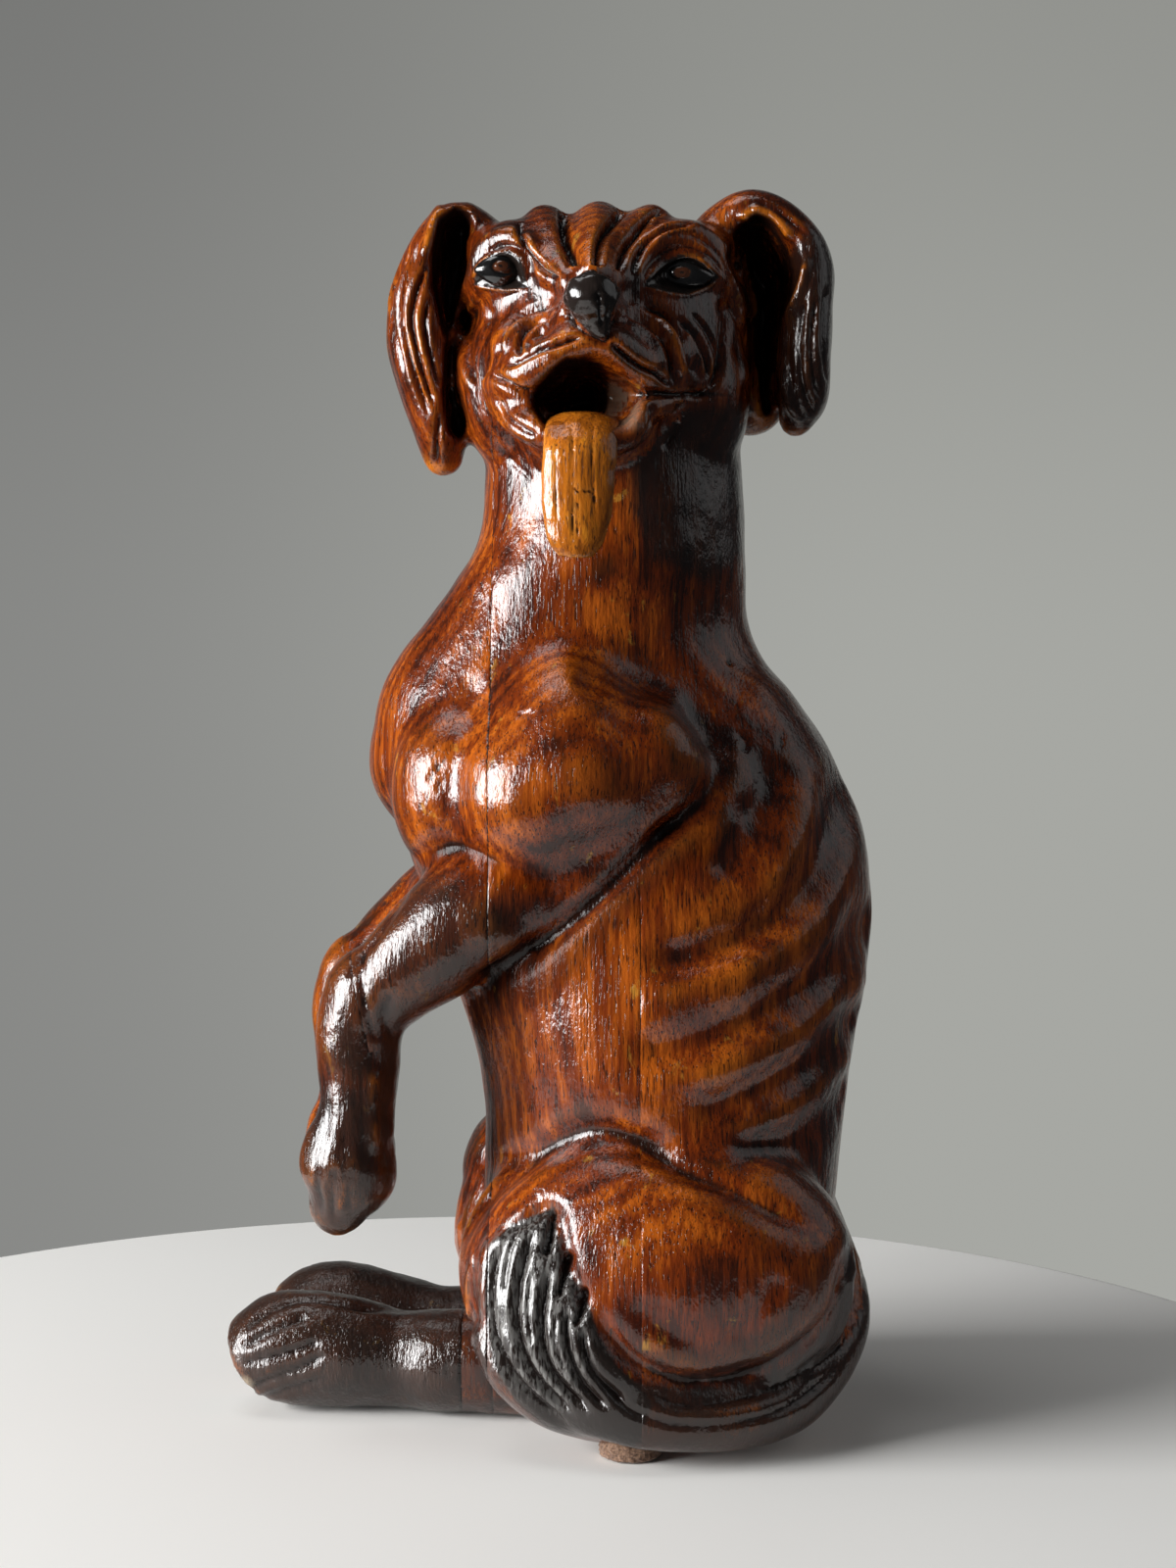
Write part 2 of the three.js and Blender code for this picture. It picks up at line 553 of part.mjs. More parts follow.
const dog = new THREE.Group();
dog.add(piece("front_plank", carved.intersect(inFront), lacqueredWood));
dog.add(piece("middle_plank", carved.subtract(inFront).subtract(behind), lacqueredWood));
dog.add(piece("rear_plank", carved.intersect(behind), lacqueredWood));

for (const [side, word] of [[1, "left"], [-1, "right"]]) {
  const forearm = limb(armLine(side).lower).intersect(pastWrist(side)).subtract(dowelHoles);
  dog.add(piece(`${word}_forearm`, forearm, lacqueredWood));
  dog.add(piece(`${word}_forearm_dowel`, wristDowel(side, dowelRadius, dowelHalfLength), dowelWood));
  const foot = hindFoot(side).subtract(toeGrooves(side)).intersect(pastAnkle).subtract(table).subtract(dowelHoles);
  dog.add(piece(`${word}_hind_foot`, foot, darkFootWood));
  dog.add(piece(`${word}_foot_dowel`, ankleDowel(side, dowelRadius, dowelHalfLength), dowelWood));
  dog.add(piece(`${word}_rump_pad`, peg(padAt(side), [0, 0, 1], padRadius, padThick / 2, 28), padFelt));
  dog.add(piece(`${word}_eye`, lump(eyeAt(side), eyeHalf, eyeTurn(side), 18), eyeHorn));
}
dog.add(piece("tongue", tongue(), tongueWood));

// The row's origin is the bottom centre of the whole figure.
const figure = new THREE.Group();
figure.add(dog);
const bounds = new THREE.Box3().setFromObject(dog);
const middle = bounds.getCenter(new THREE.Vector3());
dog.position.set(-middle.x, -middle.y, -bounds.min.z);

export default figure;
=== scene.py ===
import math

import bmesh
import bpy
import numpy as np
from mathutils import Matrix, Vector, noise


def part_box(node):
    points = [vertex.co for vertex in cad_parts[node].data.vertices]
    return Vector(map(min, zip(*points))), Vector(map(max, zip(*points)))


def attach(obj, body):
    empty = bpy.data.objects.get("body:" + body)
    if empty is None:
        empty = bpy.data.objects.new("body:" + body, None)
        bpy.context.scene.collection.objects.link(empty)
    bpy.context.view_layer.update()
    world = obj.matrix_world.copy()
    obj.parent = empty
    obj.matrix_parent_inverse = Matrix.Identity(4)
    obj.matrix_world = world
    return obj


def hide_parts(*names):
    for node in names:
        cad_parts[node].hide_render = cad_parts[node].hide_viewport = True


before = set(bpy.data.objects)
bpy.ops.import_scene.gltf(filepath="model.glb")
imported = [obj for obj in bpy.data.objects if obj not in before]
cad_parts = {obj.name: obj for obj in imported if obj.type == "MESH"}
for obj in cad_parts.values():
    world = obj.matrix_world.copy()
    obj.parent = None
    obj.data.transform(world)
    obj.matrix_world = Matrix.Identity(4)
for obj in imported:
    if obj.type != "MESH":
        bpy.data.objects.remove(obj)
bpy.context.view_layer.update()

# The carving is worked in millimetres, +Z up, -Y the way the hind feet point, +X towards the camera.
# It goes to the frame's metres as each piece is finished.
padPlace = Vector((36.0, 9.0, 2.2))
padLow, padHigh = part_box("left_rump_pad")
origin = (padLow + padHigh) / 2 - padPlace / 1000


# Camera
photo = {
    "lens": 50.0,
    "film": 36.0,
    "away": 494.0,          # from the dog's middle plane
    "eyeHeight": 141.0,     # above the table
    "size": (1200, 1600),   # of the picture, in pixels
    "clip": (0.01, 20),     # in metres
}
pixelsDeep = photo["size"][1] * photo["lens"] / photo["film"]


def pixelsOf(points):   # where the picture shows each point, and how many pixels a mm takes up there
    scale = pixelsDeep / (photo["away"] - points[:, 0])
    across = photo["size"][0] / 2 + points[:, 1] * scale
    down = photo["size"][1] / 2 - (points[:, 2] - photo["eyeHeight"]) * scale
    return np.stack([across, down], 1), scale


def placeCamera():
    data = bpy.data.cameras.new("photoCamera")
    data.sensor_width = photo["film"]
    data.lens = photo["lens"]
    data.clip_start, data.clip_end = photo["clip"]
    camera = bpy.data.objects.new("photoCamera", data)
    camera.location = origin + Vector((photo["away"], 0, photo["eyeHeight"])) / 1000
    camera.rotation_euler = (math.radians(90), 0, math.radians(90))   # level, looking along -X
    bpy.context.collection.objects.link(camera)
    bpy.context.scene.camera = camera


placeCamera()
print("camera placed")


# Rough masses
def rounded(stations, steps=4):   # more stations on a smooth line through the given ones
    out = []
    for i in range(len(stations) - 1):
        before, a, b, after = (stations[max(i - 1, 0)], stations[i],
                               stations[i + 1], stations[min(i + 2, len(stations) - 1)])
        for k in range(steps):
            t = k / steps
            out.append(tuple(0.5 * (2 * q + (r - p) * t + (2 * p - 5 * q + 4 * r - s) * t * t
                                    + (3 * q - p - 3 * r + s) * t ** 3)
                             for p, q, r, s in zip(before, a, b, after)))
    out.append(tuple(stations[-1]))
    return out


def meshFrom(bm, name):
    mesh = bpy.data.meshes.new(name)
    bm.to_mesh(mesh)
    bm.free()
    return mesh


def ball(middle, half, turn=(0, 0, 0), fine=4):
    bm = bmesh.new()
    place = Matrix.Translation(Vector(middle))
    for degrees, axis in zip(reversed(turn), "ZYX"):
        place = place @ Matrix.Rotation(math.radians(degrees), 4, axis)
    bmesh.ops.create_icosphere(bm, subdivisions=fine, radius=1, matrix=place @ Matrix.Diagonal((*half, 1)))
    return [meshFrom(bm, "ball")]


def ringPlace(here, away, across, wide, deep):
    away = away.normalized()
    side = (across - away * across.dot(away)).normalized()
    turn = Matrix((side, away.cross(side), away)).transposed().to_4x4()
    return Matrix.Translation(here) @ turn @ Matrix.Diagonal((wide, deep, 1, 1))


def limb(stations, across=(1, 0, 0), sides=28, ends=True, aim=None):
    # a station is x, y, z, half width, half depth; aim keeps the rings from tilting with the line
    line = rounded(stations)
    spots = [Vector(s[:3]) for s in line]
    end = len(spots) - 1
    aims = [Vector(aim) if aim else spots[min(i + 1, end)] - spots[max(i - 1, 0)] for i in range(end + 1)]
    places = [ringPlace(p, away, Vector(across), s[3], s[4]) for p, away, s in zip(spots, aims, line)]
    bm = bmesh.new()
    made = bmesh.ops.create_circle(bm, cap_ends=True, radius=1, segments=sides, matrix=places[0])
    face = made["verts"][0].link_faces[0]
    for before, now in zip(places, places[1:]):
        grown = bmesh.ops.extrude_face_region(bm, geom=[face])["geom"]
        face = next(item for item in grown if isinstance(item, bmesh.types.BMFace))
        bmesh.ops.transform(bm, matrix=now @ before.inverted(), verts=face.verts)
    bmesh.ops.recalc_face_normals(bm, faces=bm.faces)
    masses = [meshFrom(bm, "limb")]
    for s in (line[0], line[-1]) if ends else ():
        masses += ball(s[:3], [min(s[3], s[4]) * endBall] * 3, fine=3)
    return masses


endBall = 0.98   # radius of the ball that rounds off a limb, as a share of the limb's

trunk = {
    "sides": 48,
    "sections": [   # height, front, back, half width
        (10, -12, 44, 30), (17, -21, 50, 37), (30, -22.5, 53, 40), (46, -23.5, 55.5, 39),
        (58, -23.2, 56.8, 38.5), (70, -23.4, 58.2, 38.5), (82, -25.5, 59.8, 39.5), (95, -29.5, 62.3, 39.2),
        (108, -34, 63.9, 38.6), (120, -38.5, 63.9, 37.6), (132, -42.4, 62, 36.6), (143, -46, 57.4, 35.4),
        (153, -48.2, 52.2, 32.6), (162, -47, 45.8, 28.4), (170, -42.8, 39.2, 26.4),
        (178, -36.6, 36.2, 26.2), (187, -30, 35.8, 27.8), (197, -24.6, 35.6, 27), (210, -23.4, 35, 26.4),
        (224, -23, 34, 26)],
    "breasts": [((-1, -29.4, 147), (20, 20.4, 20)),
                ((14.6, -26.6, 140), (18, 17, 21)),
                ((-14.6, -26.6, 140), (18, 17, 21)),
                ((24, -10.6, 139), (21.2, 19.4, 19.4)),
                ((-24, -10, 139.4), (20.4, 19, 19))],
    "shoulders": [((18.4, -1.6, 142.4), (28.4, 24.4, 19.6)),
                  ((-18.4, -2.6, 142.4), (28.4, 24.4, 19.6)),
                  ((12, -3, 146.6), (32.6, 23, 27.4)),
                  ((-12, -4, 146.6), (32.6, 23, 27.4)),
                  ((27, 13.4, 147), (16, 13.4, 14)),
                  ((-27, 12.4, 147), (16, 13.4, 14))],
}

haunches = {
    "near": ((25.2, 14.6, 36.5), (25.5, 43.2, 33), (0, 0, -9)),   # middle, half sizes, degrees turned
    "far": ((-25.2, 11, 36.5), (25.5, 43.2, 33), (0, 0, 9)),
    "nearUnder": ((35, 9, 24), (16.5, 33, 22)),
    "farUnder": ((-35, 9, 24), (16.5, 33, 22)),
    "farKnee": ((-27, -15.5, 49), (17, 14.5, 16)),
    "nearShank": [(14, 20, 13, 12, 11), (7.4, -5, 12, 11.5, 12), (5, -26, 11.6, 10.4, 11.4),
                  (2.6, -40, 11.3, 9.6, 11)],
    "farShank": [(-22, 20, 13, 12, 11), (-28, -5, 12, 11.5, 12), (-31, -26, 10.2, 10, 10.2),
                 (-31.6, -36, 10, 9.8, 9.9)],
}

head = {
    "skull": [((1, 4.6, 239), (31, 32, 30.5)), ((7, -15.5, 254), (19, 13.5, 12.5)),
              ((7, 20.5, 254), (19, 14.5, 12.5)), ((7, -14, 230), (18, 15, 21)),
              ((7, 20, 228), (18, 16.5, 22))],
    "muzzle": [((20, 1, 235), (20, 18, 11)), ((30, 0.5, 240), (14, 8, 6)), ((22, -13, 233), (14, 9, 9)),
               ((22, 15, 231), (14, 9, 10)), ((20, 1, 217), (15, 16, 10))],
    "nose": [((44.2, 0.8, 242), (5.8, 6.0, 5.2)), ((43, 2.2, 238.4), (4.4, 3.4, 3.4)),
             ((42, 2.8, 235.6), (3.2, 2.2, 3.8))],
    "upperLip": [(26, -20.4, 226.4, 3, 3), (31, -15.4, 226.6, 5.2, 5.2), (36, -9.8, 228.8, 5.4, 5.4),
                 (40, -2, 233.2, 4.1, 4.1), (40, 3.6, 233.2, 3.8, 3.8), (37, 9, 230, 4, 3.8),
                 (33, 14, 226.8, 3.6, 3.6), (28, 19, 224.8, 2.8, 2.8)],
    "lowerLip": [(26, -19.4, 223, 3, 3), (31, -15, 219, 4, 4), (35.4, -9.6, 215.6, 4.2, 4.2),
                 (37.6, 0, 212.6, 4.6, 4.6), (37.4, 9.6, 215.4, 3.6, 3.6), (34.6, 12, 219.6, 3, 3),
                 (30, 17, 222, 2.6, 2.6)],
    "foreheadLobes": [
        [(9, -9.6, 265, 5.6, 5.2), (18, -8.8, 259.8, 5.2, 4.8), (27, -6.4, 252.4, 4.2, 4),
         (34, -3.8, 246.8, 2.8, 2.8)],
        [(9, 2.6, 265.4, 6.4, 5.6), (19, 1.8, 260.2, 5.8, 5.2), (28, 1, 254.6, 4.4, 4.4),
         (36, 1, 248.8, 3.2, 3.2)],
        [(9, 14, 265.2, 5.4, 5.2), (18, 10.4, 260.2, 4.8, 4.8), (27, 7, 253.2, 3.8, 3.8),
         (34, 5, 247.2, 2.6, 2.6)],
        [(9, 22.6, 262, 4.6, 4.6), (17, 17.4, 259.2, 4.2, 4), (24, 12.6, 254.4, 3.2, 3.2),
         (29, 10.2, 249.6, 2.4, 2.4)]],
    "brows": [[(18, -24.4, 252.6, 2.4, 2.4), (21, -22, 257.4, 2.6, 2.6), (24, -17, 259.2, 2.6, 2.6),
               (26.6, -12.2, 255.6, 2.4, 2.4), (29, -9.2, 250, 2, 2)],
              [(27, 11.4, 250, 2, 2), (26, 13, 256.4, 2.4, 2.4), (24, 18.4, 260, 2.8, 2.8),
               (20.6, 25, 259.4, 3, 3), (16.4, 31, 254, 3, 3), (12.6, 33.8, 246.4, 2.6, 2.6)]],
}

ears = {
    "left": {"flap": [(0, 24, 260, 8, 5), (1, 30.5, 265.5, 10, 6.4), (2, 36.6, 268.8, 11, 6),
                      (2.6, 44, 265.4, 12, 5.8), (3, 49.4, 258, 12.6, 5.6), (3, 49.4, 247, 13, 5.6),
                      (3, 49, 236, 13, 5.8), (3, 48.2, 227.6, 11, 5.8), (2.5, 47, 223.4, 7, 4.2)],
             "web": [(-9.5, 32, 258, 9, 10), (-11.5, 36, 246, 9.5, 12), (-11.5, 38, 230, 8.5, 10)]},
    "right": {"flap": [(0, -19, 259, 9, 6), (2, -28, 266.6, 11, 5.6), (3, -33.6, 260, 12, 7),
                       (3, -36.9, 249, 13, 8.3), (3, -36.5, 237, 13, 8.3), (3, -34, 224, 10, 6.6),
                       (2.5, -32.6, 215, 6.6, 4.8)],
              "web": [(-9, -24, 258, 9, 9), (-10.5, -28, 244, 9.5, 10.5), (-10.5, -28, 229, 8.5, 8.5)]},
}

tail = {
    "rope": [(-6, 50, 46, 6.8, 6.2), (2, 53, 38, 6.8, 6.2), (12, 56.4, 26, 6.8, 6.3),
             (24, 51.4, 17, 6.8, 6.3), (35, 41.6, 10.6, 6.8, 6.3), (43, 27, 9.6, 6.8, 6.3),
             (45, 12, 10.6, 6.8, 6.3), (44.6, 3, 14, 7.4, 6.3)],
    "brush": [(44, 5, 12, 8, 7), (42.2, -4, 20, 11, 7), (40.4, -9.4, 31, 13.8, 7),
              (37.4, -11.4, 42, 12, 6.6), (34.8, -11, 49, 7, 5.6)],
    "brushAcross": (0.34, 0.94, 0),   # the way the brush's width lies
}

arms = {   # the left one; the right one is its mirror image, set further forward
    "upper": [(20, 12, 131, 9, 6), (23, 0, 126, 11, 11), (24.6, -11.4, 121, 12, 13),
              (25.4, -23, 114.2, 12.6, 13), (25.6, -31, 107.8, 12.2, 12.8),
              (24.8, -40.3, 100.3, 10.6, 10.6), (23.8, -46.4, 93.8, 9.3, 9)],
    "swell": ((20.6, -23.4, 112.4), (18.2, 16, 13.6)),   # the round of the upper arm
    "swellAhead": 0.6,        # how much of farAhead the far one moves
    "lower": [(23.8, -46.8, 97, 9.6, 9.8), (23, -49.2, 89.6, 9.3, 9.6), (22.6, -49.7, 84, 9, 9.2),
              (22.4, -49.6, 77.3, 8.8, 8.8), (22.2, -49.8, 72.5, 8.9, 8.3), (21.8, -50.6, 66.7, 9.6, 8.9),
              (21.4, -51.9, 61.4, 10.6, 10.4), (21.2, -52, 56.4, 10.6, 10.8), (21, -52.9, 52.6, 9.6, 9.2),
              (21, -54, 49.6, 8, 6.8)],
    "farAhead": -7.0,
    "farLean": (3.5, -4.0),   # how far back and down the far paw hangs from there
    "wrist": (23.0, -48.2, 92.0),
    "wristTilt": 12.0,        # degrees
}

feet = {
    "left": [(5, -24, 11.6, 10.4, 11.4), (4.4, -33, 11.5, 10.2, 11.3), (2, -42, 11.2, 9.4, 10.9),
             (1.4, -53, 12.6, 10.8, 12.2), (0.4, -64, 13.4, 11.4, 12.9), (-0.6, -70, 12.9, 11.6, 12.5),
             (-1.2, -74.4, 11.2, 11, 11), (-1.6, -77.2, 9.6, 9.8, 9.2)],
    "right": [(-31.2, -24, 10.2, 9.8, 10.2), (-31.6, -34, 9.9, 9.8, 9.8), (-32.2, -40, 10.4, 10, 10.3),
              (-33.2, -48, 11.5, 10.8, 11.3), (-34.2, -58, 12.7, 11.4, 12.3),
              (-35.2, -64.6, 12.5, 11.6, 12), (-35.8, -69, 11.2, 11, 10.8), (-36.2, -72, 9.6, 9.8, 9)],
    "ankle": -28.0,   # where the foot is glued on
    "toes": -40.0,    # from here on the foot is higher than at the ankle
}


def mirrored(stations, ahead, lean=(0.0, 0.0)):
    shares = [i / (len(stations) - 1) for i in range(len(stations))]
    return [(-s[0], s[1] + ahead + lean[0] * t, s[2] + lean[1] * t, *s[3:])
            for s, t in zip(stations, shares)]


def roughDog():
    rings = [(0, (front + back) / 2, z, half, (back - front) / 2)
             for z, front, back, half in trunk["sections"]]
    masses = limb(rings, sides=trunk["sides"], ends=False, aim=(0, 0, 1))
    for middle, half in trunk["breasts"] + trunk["shoulders"]:
        masses += ball(middle, half)
    for name in ("near", "far", "nearUnder", "farUnder", "farKnee"):
        masses += ball(*haunches[name])
    masses += limb(haunches["nearShank"]) + limb(haunches["farShank"])
    for middle, half in head["skull"] + head["muzzle"] + head["nose"]:
        masses += ball(middle, half)
    masses += limb(head["upperLip"], across=(0, 0, 1)) + limb(head["lowerLip"], across=(0, 0, 1))
    for lobe in head["foreheadLobes"]:
        masses += limb(lobe, across=(0, 1, 0))
    for brow in head["brows"]:
        masses += limb(brow)
    for ear in ears.values():
        masses += limb(ear["flap"]) + limb(ear["web"])
    masses += limb(tail["rope"], across=(0, 0, 1)) + limb(tail["brush"], across=tail["brushAcross"])
    masses += limb(arms["upper"]) + limb(mirrored(arms["upper"], arms["farAhead"]))
    (x, y, z), half = arms["swell"]
    masses += ball((x, y, z), half) + ball((-x, y + arms["farAhead"] * arms["swellAhead"], z), half)
    masses += limb(arms["lower"]) + limb(mirrored(arms["lower"], arms["farAhead"], arms["farLean"]))
    masses += limb(feet["left"], ends=False) + limb(feet["right"], ends=False)
    whole = bmesh.new()
    for mesh in masses:
        whole.from_mesh(mesh)
        bpy.data.meshes.remove(mesh)
    return meshFrom(whole, "roughDog")


def voxelled(mesh, voxel):   # one even skin over everything in the mesh
    body = bpy.data.objects.new("rough", mesh)
    bpy.context.collection.objects.link(body)
    remesh = body.modifiers.new("remesh", "REMESH")
    remesh.mode = "VOXEL"
    remesh.voxel_size = voxel
    remesh.adaptivity = 0
    made = bpy.data.meshes.new_from_object(body.evaluated_get(bpy.context.evaluated_depsgraph_get()))
    bpy.data.objects.remove(body)
    bpy.data.meshes.remove(mesh)
    return made


# Carving tools: all of them move the skin's own vertices
tools = {
    "facing": (-0.3, 0.05),   # how far a surface turns to the viewer, from not carved to fully carved
    "cell": 5,                # pixels, of the grid that finds what stands in front
    "cells": 400,             # along each side of that grid
    "slack": (5.0, 8.0),      # mm behind what stands in front: still carved, and no longer carved
    "settleEvery": 4,         # rounds of filling
    "lineReach": 6,           # pixels round a line, for each mm of its half width
    "outlineReach": 8,        # pixels round an outline
    "seenLeast": 0.01,
    "seenWell": 0.8,
    "softEdge": (0.4, 0.6),   # how a patch's soft edge is shared out, outside and inside its outline
}


def smoothStep(low, high, value):
    t = np.clip((value - low) / (high - low), 0, 1)
    return t * t * (3 - 2 * t)


def readSkin(mesh):
    skin = {"mesh": mesh}
    points = np.empty(len(mesh.vertices) * 3, np.float32)
    mesh.vertices.foreach_get("co", points)
    skin["points"] = points.reshape(-1, 3).astype(np.float64)
    edges = np.empty(len(mesh.edges) * 2, np.int32)
    mesh.edges.foreach_get("vertices", edges)
    skin["edges"] = edges.reshape(-1, 2)
    settle(skin)
    return skin


def settle(skin):   # writes the points back, then reads the normals and what each side's view sees
    mesh, points = skin["mesh"], skin["points"]
    mesh.vertices.foreach_set("co", points.astype(np.float32).ravel())
    mesh.update()
    normals = np.empty(len(points) * 3, np.float32)
    mesh.vertex_normals.foreach_get("vector", normals)
    skin["normals"] = normals.reshape(-1, 3).astype(np.float64)
    for side, sign in (("near", 1), ("far", -1)):
        seenFrom = points * (sign, 1, 1)
        pixels, scale = pixelsOf(seenFrom)
        facing = smoothStep(*tools["facing"], sign * skin["normals"][:, 0])
        skin[side] = {"pixels": pixels, "scale": scale, "seen": frontmost(pixels, seenFrom[:, 0]) * facing}


def frontmost(pixels, depth):   # 1 where nothing lies more than the slack in front
    cells = tools["cells"]
    grid = np.clip((pixels / tools["cell"]).astype(int), 1, cells - 2)
    front = np.full((cells, cells), -1e6)
    np.maximum.at(front, (grid[:, 1], grid[:, 0]), depth)
    wide = front.copy()
    for dy in (-1, 0, 1):
        for dx in (-1, 0, 1):
            wide = np.maximum(wide, np.roll(np.roll(front, dy, 0), dx, 1))
    return 1 - smoothStep(*tools["slack"], wide[grid[:, 1], grid[:, 0]] - depth)


def neighbourMean(points, edges):
    ends, others = edges[:, 0], edges[:, 1]
    total = np.stack([np.bincount(ends, points[others, k], len(points))
                      + np.bincount(others, points[ends, k], len(points)) for k in range(3)], 1)
    return total / np.bincount(edges.ravel(), minlength=len(points))[:, None].clip(1)


def relaxed(points, edges, rounds, amount=0.5, swell=0.0):   # swell undoes the shrinking of each round
    points = points.copy()
    for step in range(rounds):
        for share in (amount, -swell) if swell else (amount,):
            points += share * (neighbourMean(points, edges) - points)
    return points


def filled(skin, rounds, share=0.5):   # lets the creases between masses fill up, and leaves what stands out
    for step in range(int(rounds.max())):
        if step % tools["settleEvery"] == 0:
            settle(skin)
        points = skin["points"]
        lift = ((neighbourMean(points, skin["edges"]) - points) * skin["normals"]).sum(1).clip(0)
        lift *= (rounds > step) * share
        skin["points"] = points + skin["normals"] * lift[:, None]


def nearLine(pixels, line):   # distance to a smooth line, and how far along it, from 0 to 1
    line = np.array(rounded([tuple(map(float, p)) for p in line], steps=5))
    away = np.full(len(pixels), 1e9)
    along = np.zeros(len(pixels))
    steps = np.linalg.norm(np.diff(line, axis=0), axis=1)
    start = np.concatenate([[0], np.cumsum(steps)])
    for a, b, step, begun in zip(line, line[1:], steps, start):
        t = np.clip((pixels - a) @ (b - a) / max(step * step, 1e-9), 0, 1)
        here = np.linalg.norm(pixels - a - t[:, None] * (b - a), axis=1)
        closer = here < away
        away[closer] = here[closer]
        along[closer] = (begun + t[closer] * step) / start[-1]
    return away, along


def closeTo(view, drawn, margin):   # the points that the view shows round what is drawn on it
    pixels = view["pixels"]
    close = np.all((pixels > np.min(drawn, 0) - margin) & (pixels < np.max(drawn, 0) + margin), 1)
    return np.nonzero(close & (view["seen"] > tools["seenLeast"]))[0]


def carve(skin, line, half, depth, shape="cusp", ends=0.15, side="near"):   # depth below 0 raises a ridge
    view = skin[side]
    index = closeTo(view, line, half * tools["lineReach"])
    away, along = nearLine(view["pixels"][index], line)
    r = np.clip(away / view["scale"][index] / half, 0, 1)
    profile = {"cusp": (1 - r) ** 2, "round": (1 - r * r) ** 2}[shape]
    fade = smoothStep(0, ends, along) * smoothStep(0, ends, 1 - along)
    skin["points"][index] -= skin["normals"][index] * (depth * profile * fade * view["seen"][index])[:, None]


def inside(pixels, outline):   # signed distance to a closed outline, above 0 inside it
    outline = np.array(outline, float)
    away = np.full(len(pixels), 1e9)
    within = np.zeros(len(pixels), bool)
    for a, b in zip(outline, np.roll(outline, -1, 0)):
        t = np.clip((pixels - a) @ (b - a) / max((b - a) @ (b - a), 1e-9), 0, 1)
        away = np.minimum(away, np.linalg.norm(pixels - a - t[:, None] * (b - a), axis=1))
        crosses = (a[1] > pixels[:, 1]) != (b[1] > pixels[:, 1])
        at = a[0] + (pixels[:, 1] - a[1]) / (b[1] - a[1] if b[1] != a[1] else 1e-9) * (b[0] - a[0])
        within ^= crosses & (pixels[:, 0] < at)
    return np.where(within, away, -away)


def press(skin, outline, depth, soft):   # moves what lies inside an outline away from the viewer, in mm
    view = skin["near"]
    index = closeTo(view, outline, tools["outlineReach"])
    share = smoothStep(0, soft, inside(view["pixels"][index], outline) / view["scale"][index])
    skin["points"][index, 0] -= depth * (share * view["seen"][index])


# Big forms, drawn on the picture: the deep hollows and the grooves between the masses
bigForms = {   # outline, depth, how softly the depth is reached
    "mouth": ([(543, 400), (553, 388), (566, 373), (578, 364), (600, 366), (614, 370), (621, 384),
               (622, 410), (616, 440), (560, 440), (547, 422)], 15, 2.6),
    "mouthRight": ([(608, 368), (618, 371), (630, 384), (646, 399), (658, 406), (652, 424), (640, 440),
                    (606, 440)], 6.5, 3.4),
    "rightEarSlope": ([(380, 225), (416, 225), (410, 300), (414, 380), (434, 440), (440, 500), (380, 500)],
                      3.6, 8.0),
    "leftEarHollow": ([(739, 262), (748, 236), (770, 214), (788, 220), (806, 256), (804, 300), (796, 340),
                       (792, 385), (798, 424), (778, 426), (770, 380), (767, 340), (757, 300)], 11, 3.0),
    "rightEarHollow": ([(446, 222), (466, 208), (482, 216), (484, 250), (480, 275), (470, 300), (464, 330),
                        (457, 355), (447, 330), (438, 290), (438, 255)], 11, 2.6),
    "rightEarSlot": ([(452, 350), (466, 340), (468, 390), (480, 430), (470, 452), (455, 440), (450, 400)],
                     9, 2.0),
    "leftEyeSocket": ([(656, 291), (668, 268), (696, 254), (714, 260), (737, 286), (720, 296), (696, 302),
                       (674, 296)], 2.6, 3.0),
    "rightEyeSocket": ([(482, 290), (488, 268), (504, 256), (522, 252), (534, 262), (541, 294), (512, 295)],
                       2.2, 3.0),
}

bodyGrooves = {   # line, half width, depth
    "haunchTop": ([(468, 1290), (480, 1235), (520, 1195), (560, 1168), (600, 1155), (650, 1164),
                   (700, 1192), (750, 1213), (800, 1240), (850, 1262)], 6, 3.0),
    "underArm": ([(716, 815), (690, 842), (655, 872), (616, 910), (560, 957), (500, 999), (466, 1016)],
                 4, 3.2),
    "underBreast": ([(402, 886), (434, 869), (468, 864), (498, 874), (528, 898)], 2.4, 1.0),
    "overShoulder": ([(575, 690), (620, 684), (665, 690), (704, 712), (730, 745), (738, 780)], 8, 1.6),
    "behindShoulder": ([(690, 705), (722, 735), (735, 772), (726, 806), (696, 838), (655, 862)], 5, 2.4),
    "betweenBreasts": ([(492, 680), (476, 730), (468, 780), (468, 830), (476, 860)], 4.6, 0.5),
    "bladeFront": ([(735, 700), (762, 730), (778, 765), (776, 800), (752, 845)], 6, 0.9),
    "tailTop": ([(868, 1250), (868, 1310), (850, 1355), (800, 1395), (745, 1412), (690, 1412), (640, 1385),
                 (612, 1345), (596, 1322)], 6, 3.8),
    "haunchBack": ([(800, 1300), (770, 1345), (740, 1370)], 5, 1.0),
    "brushEdge": ([(498, 1262), (530, 1248), (565, 1232), (578, 1276), (590, 1318), (606, 1338)], 2.4, 2.2),
}

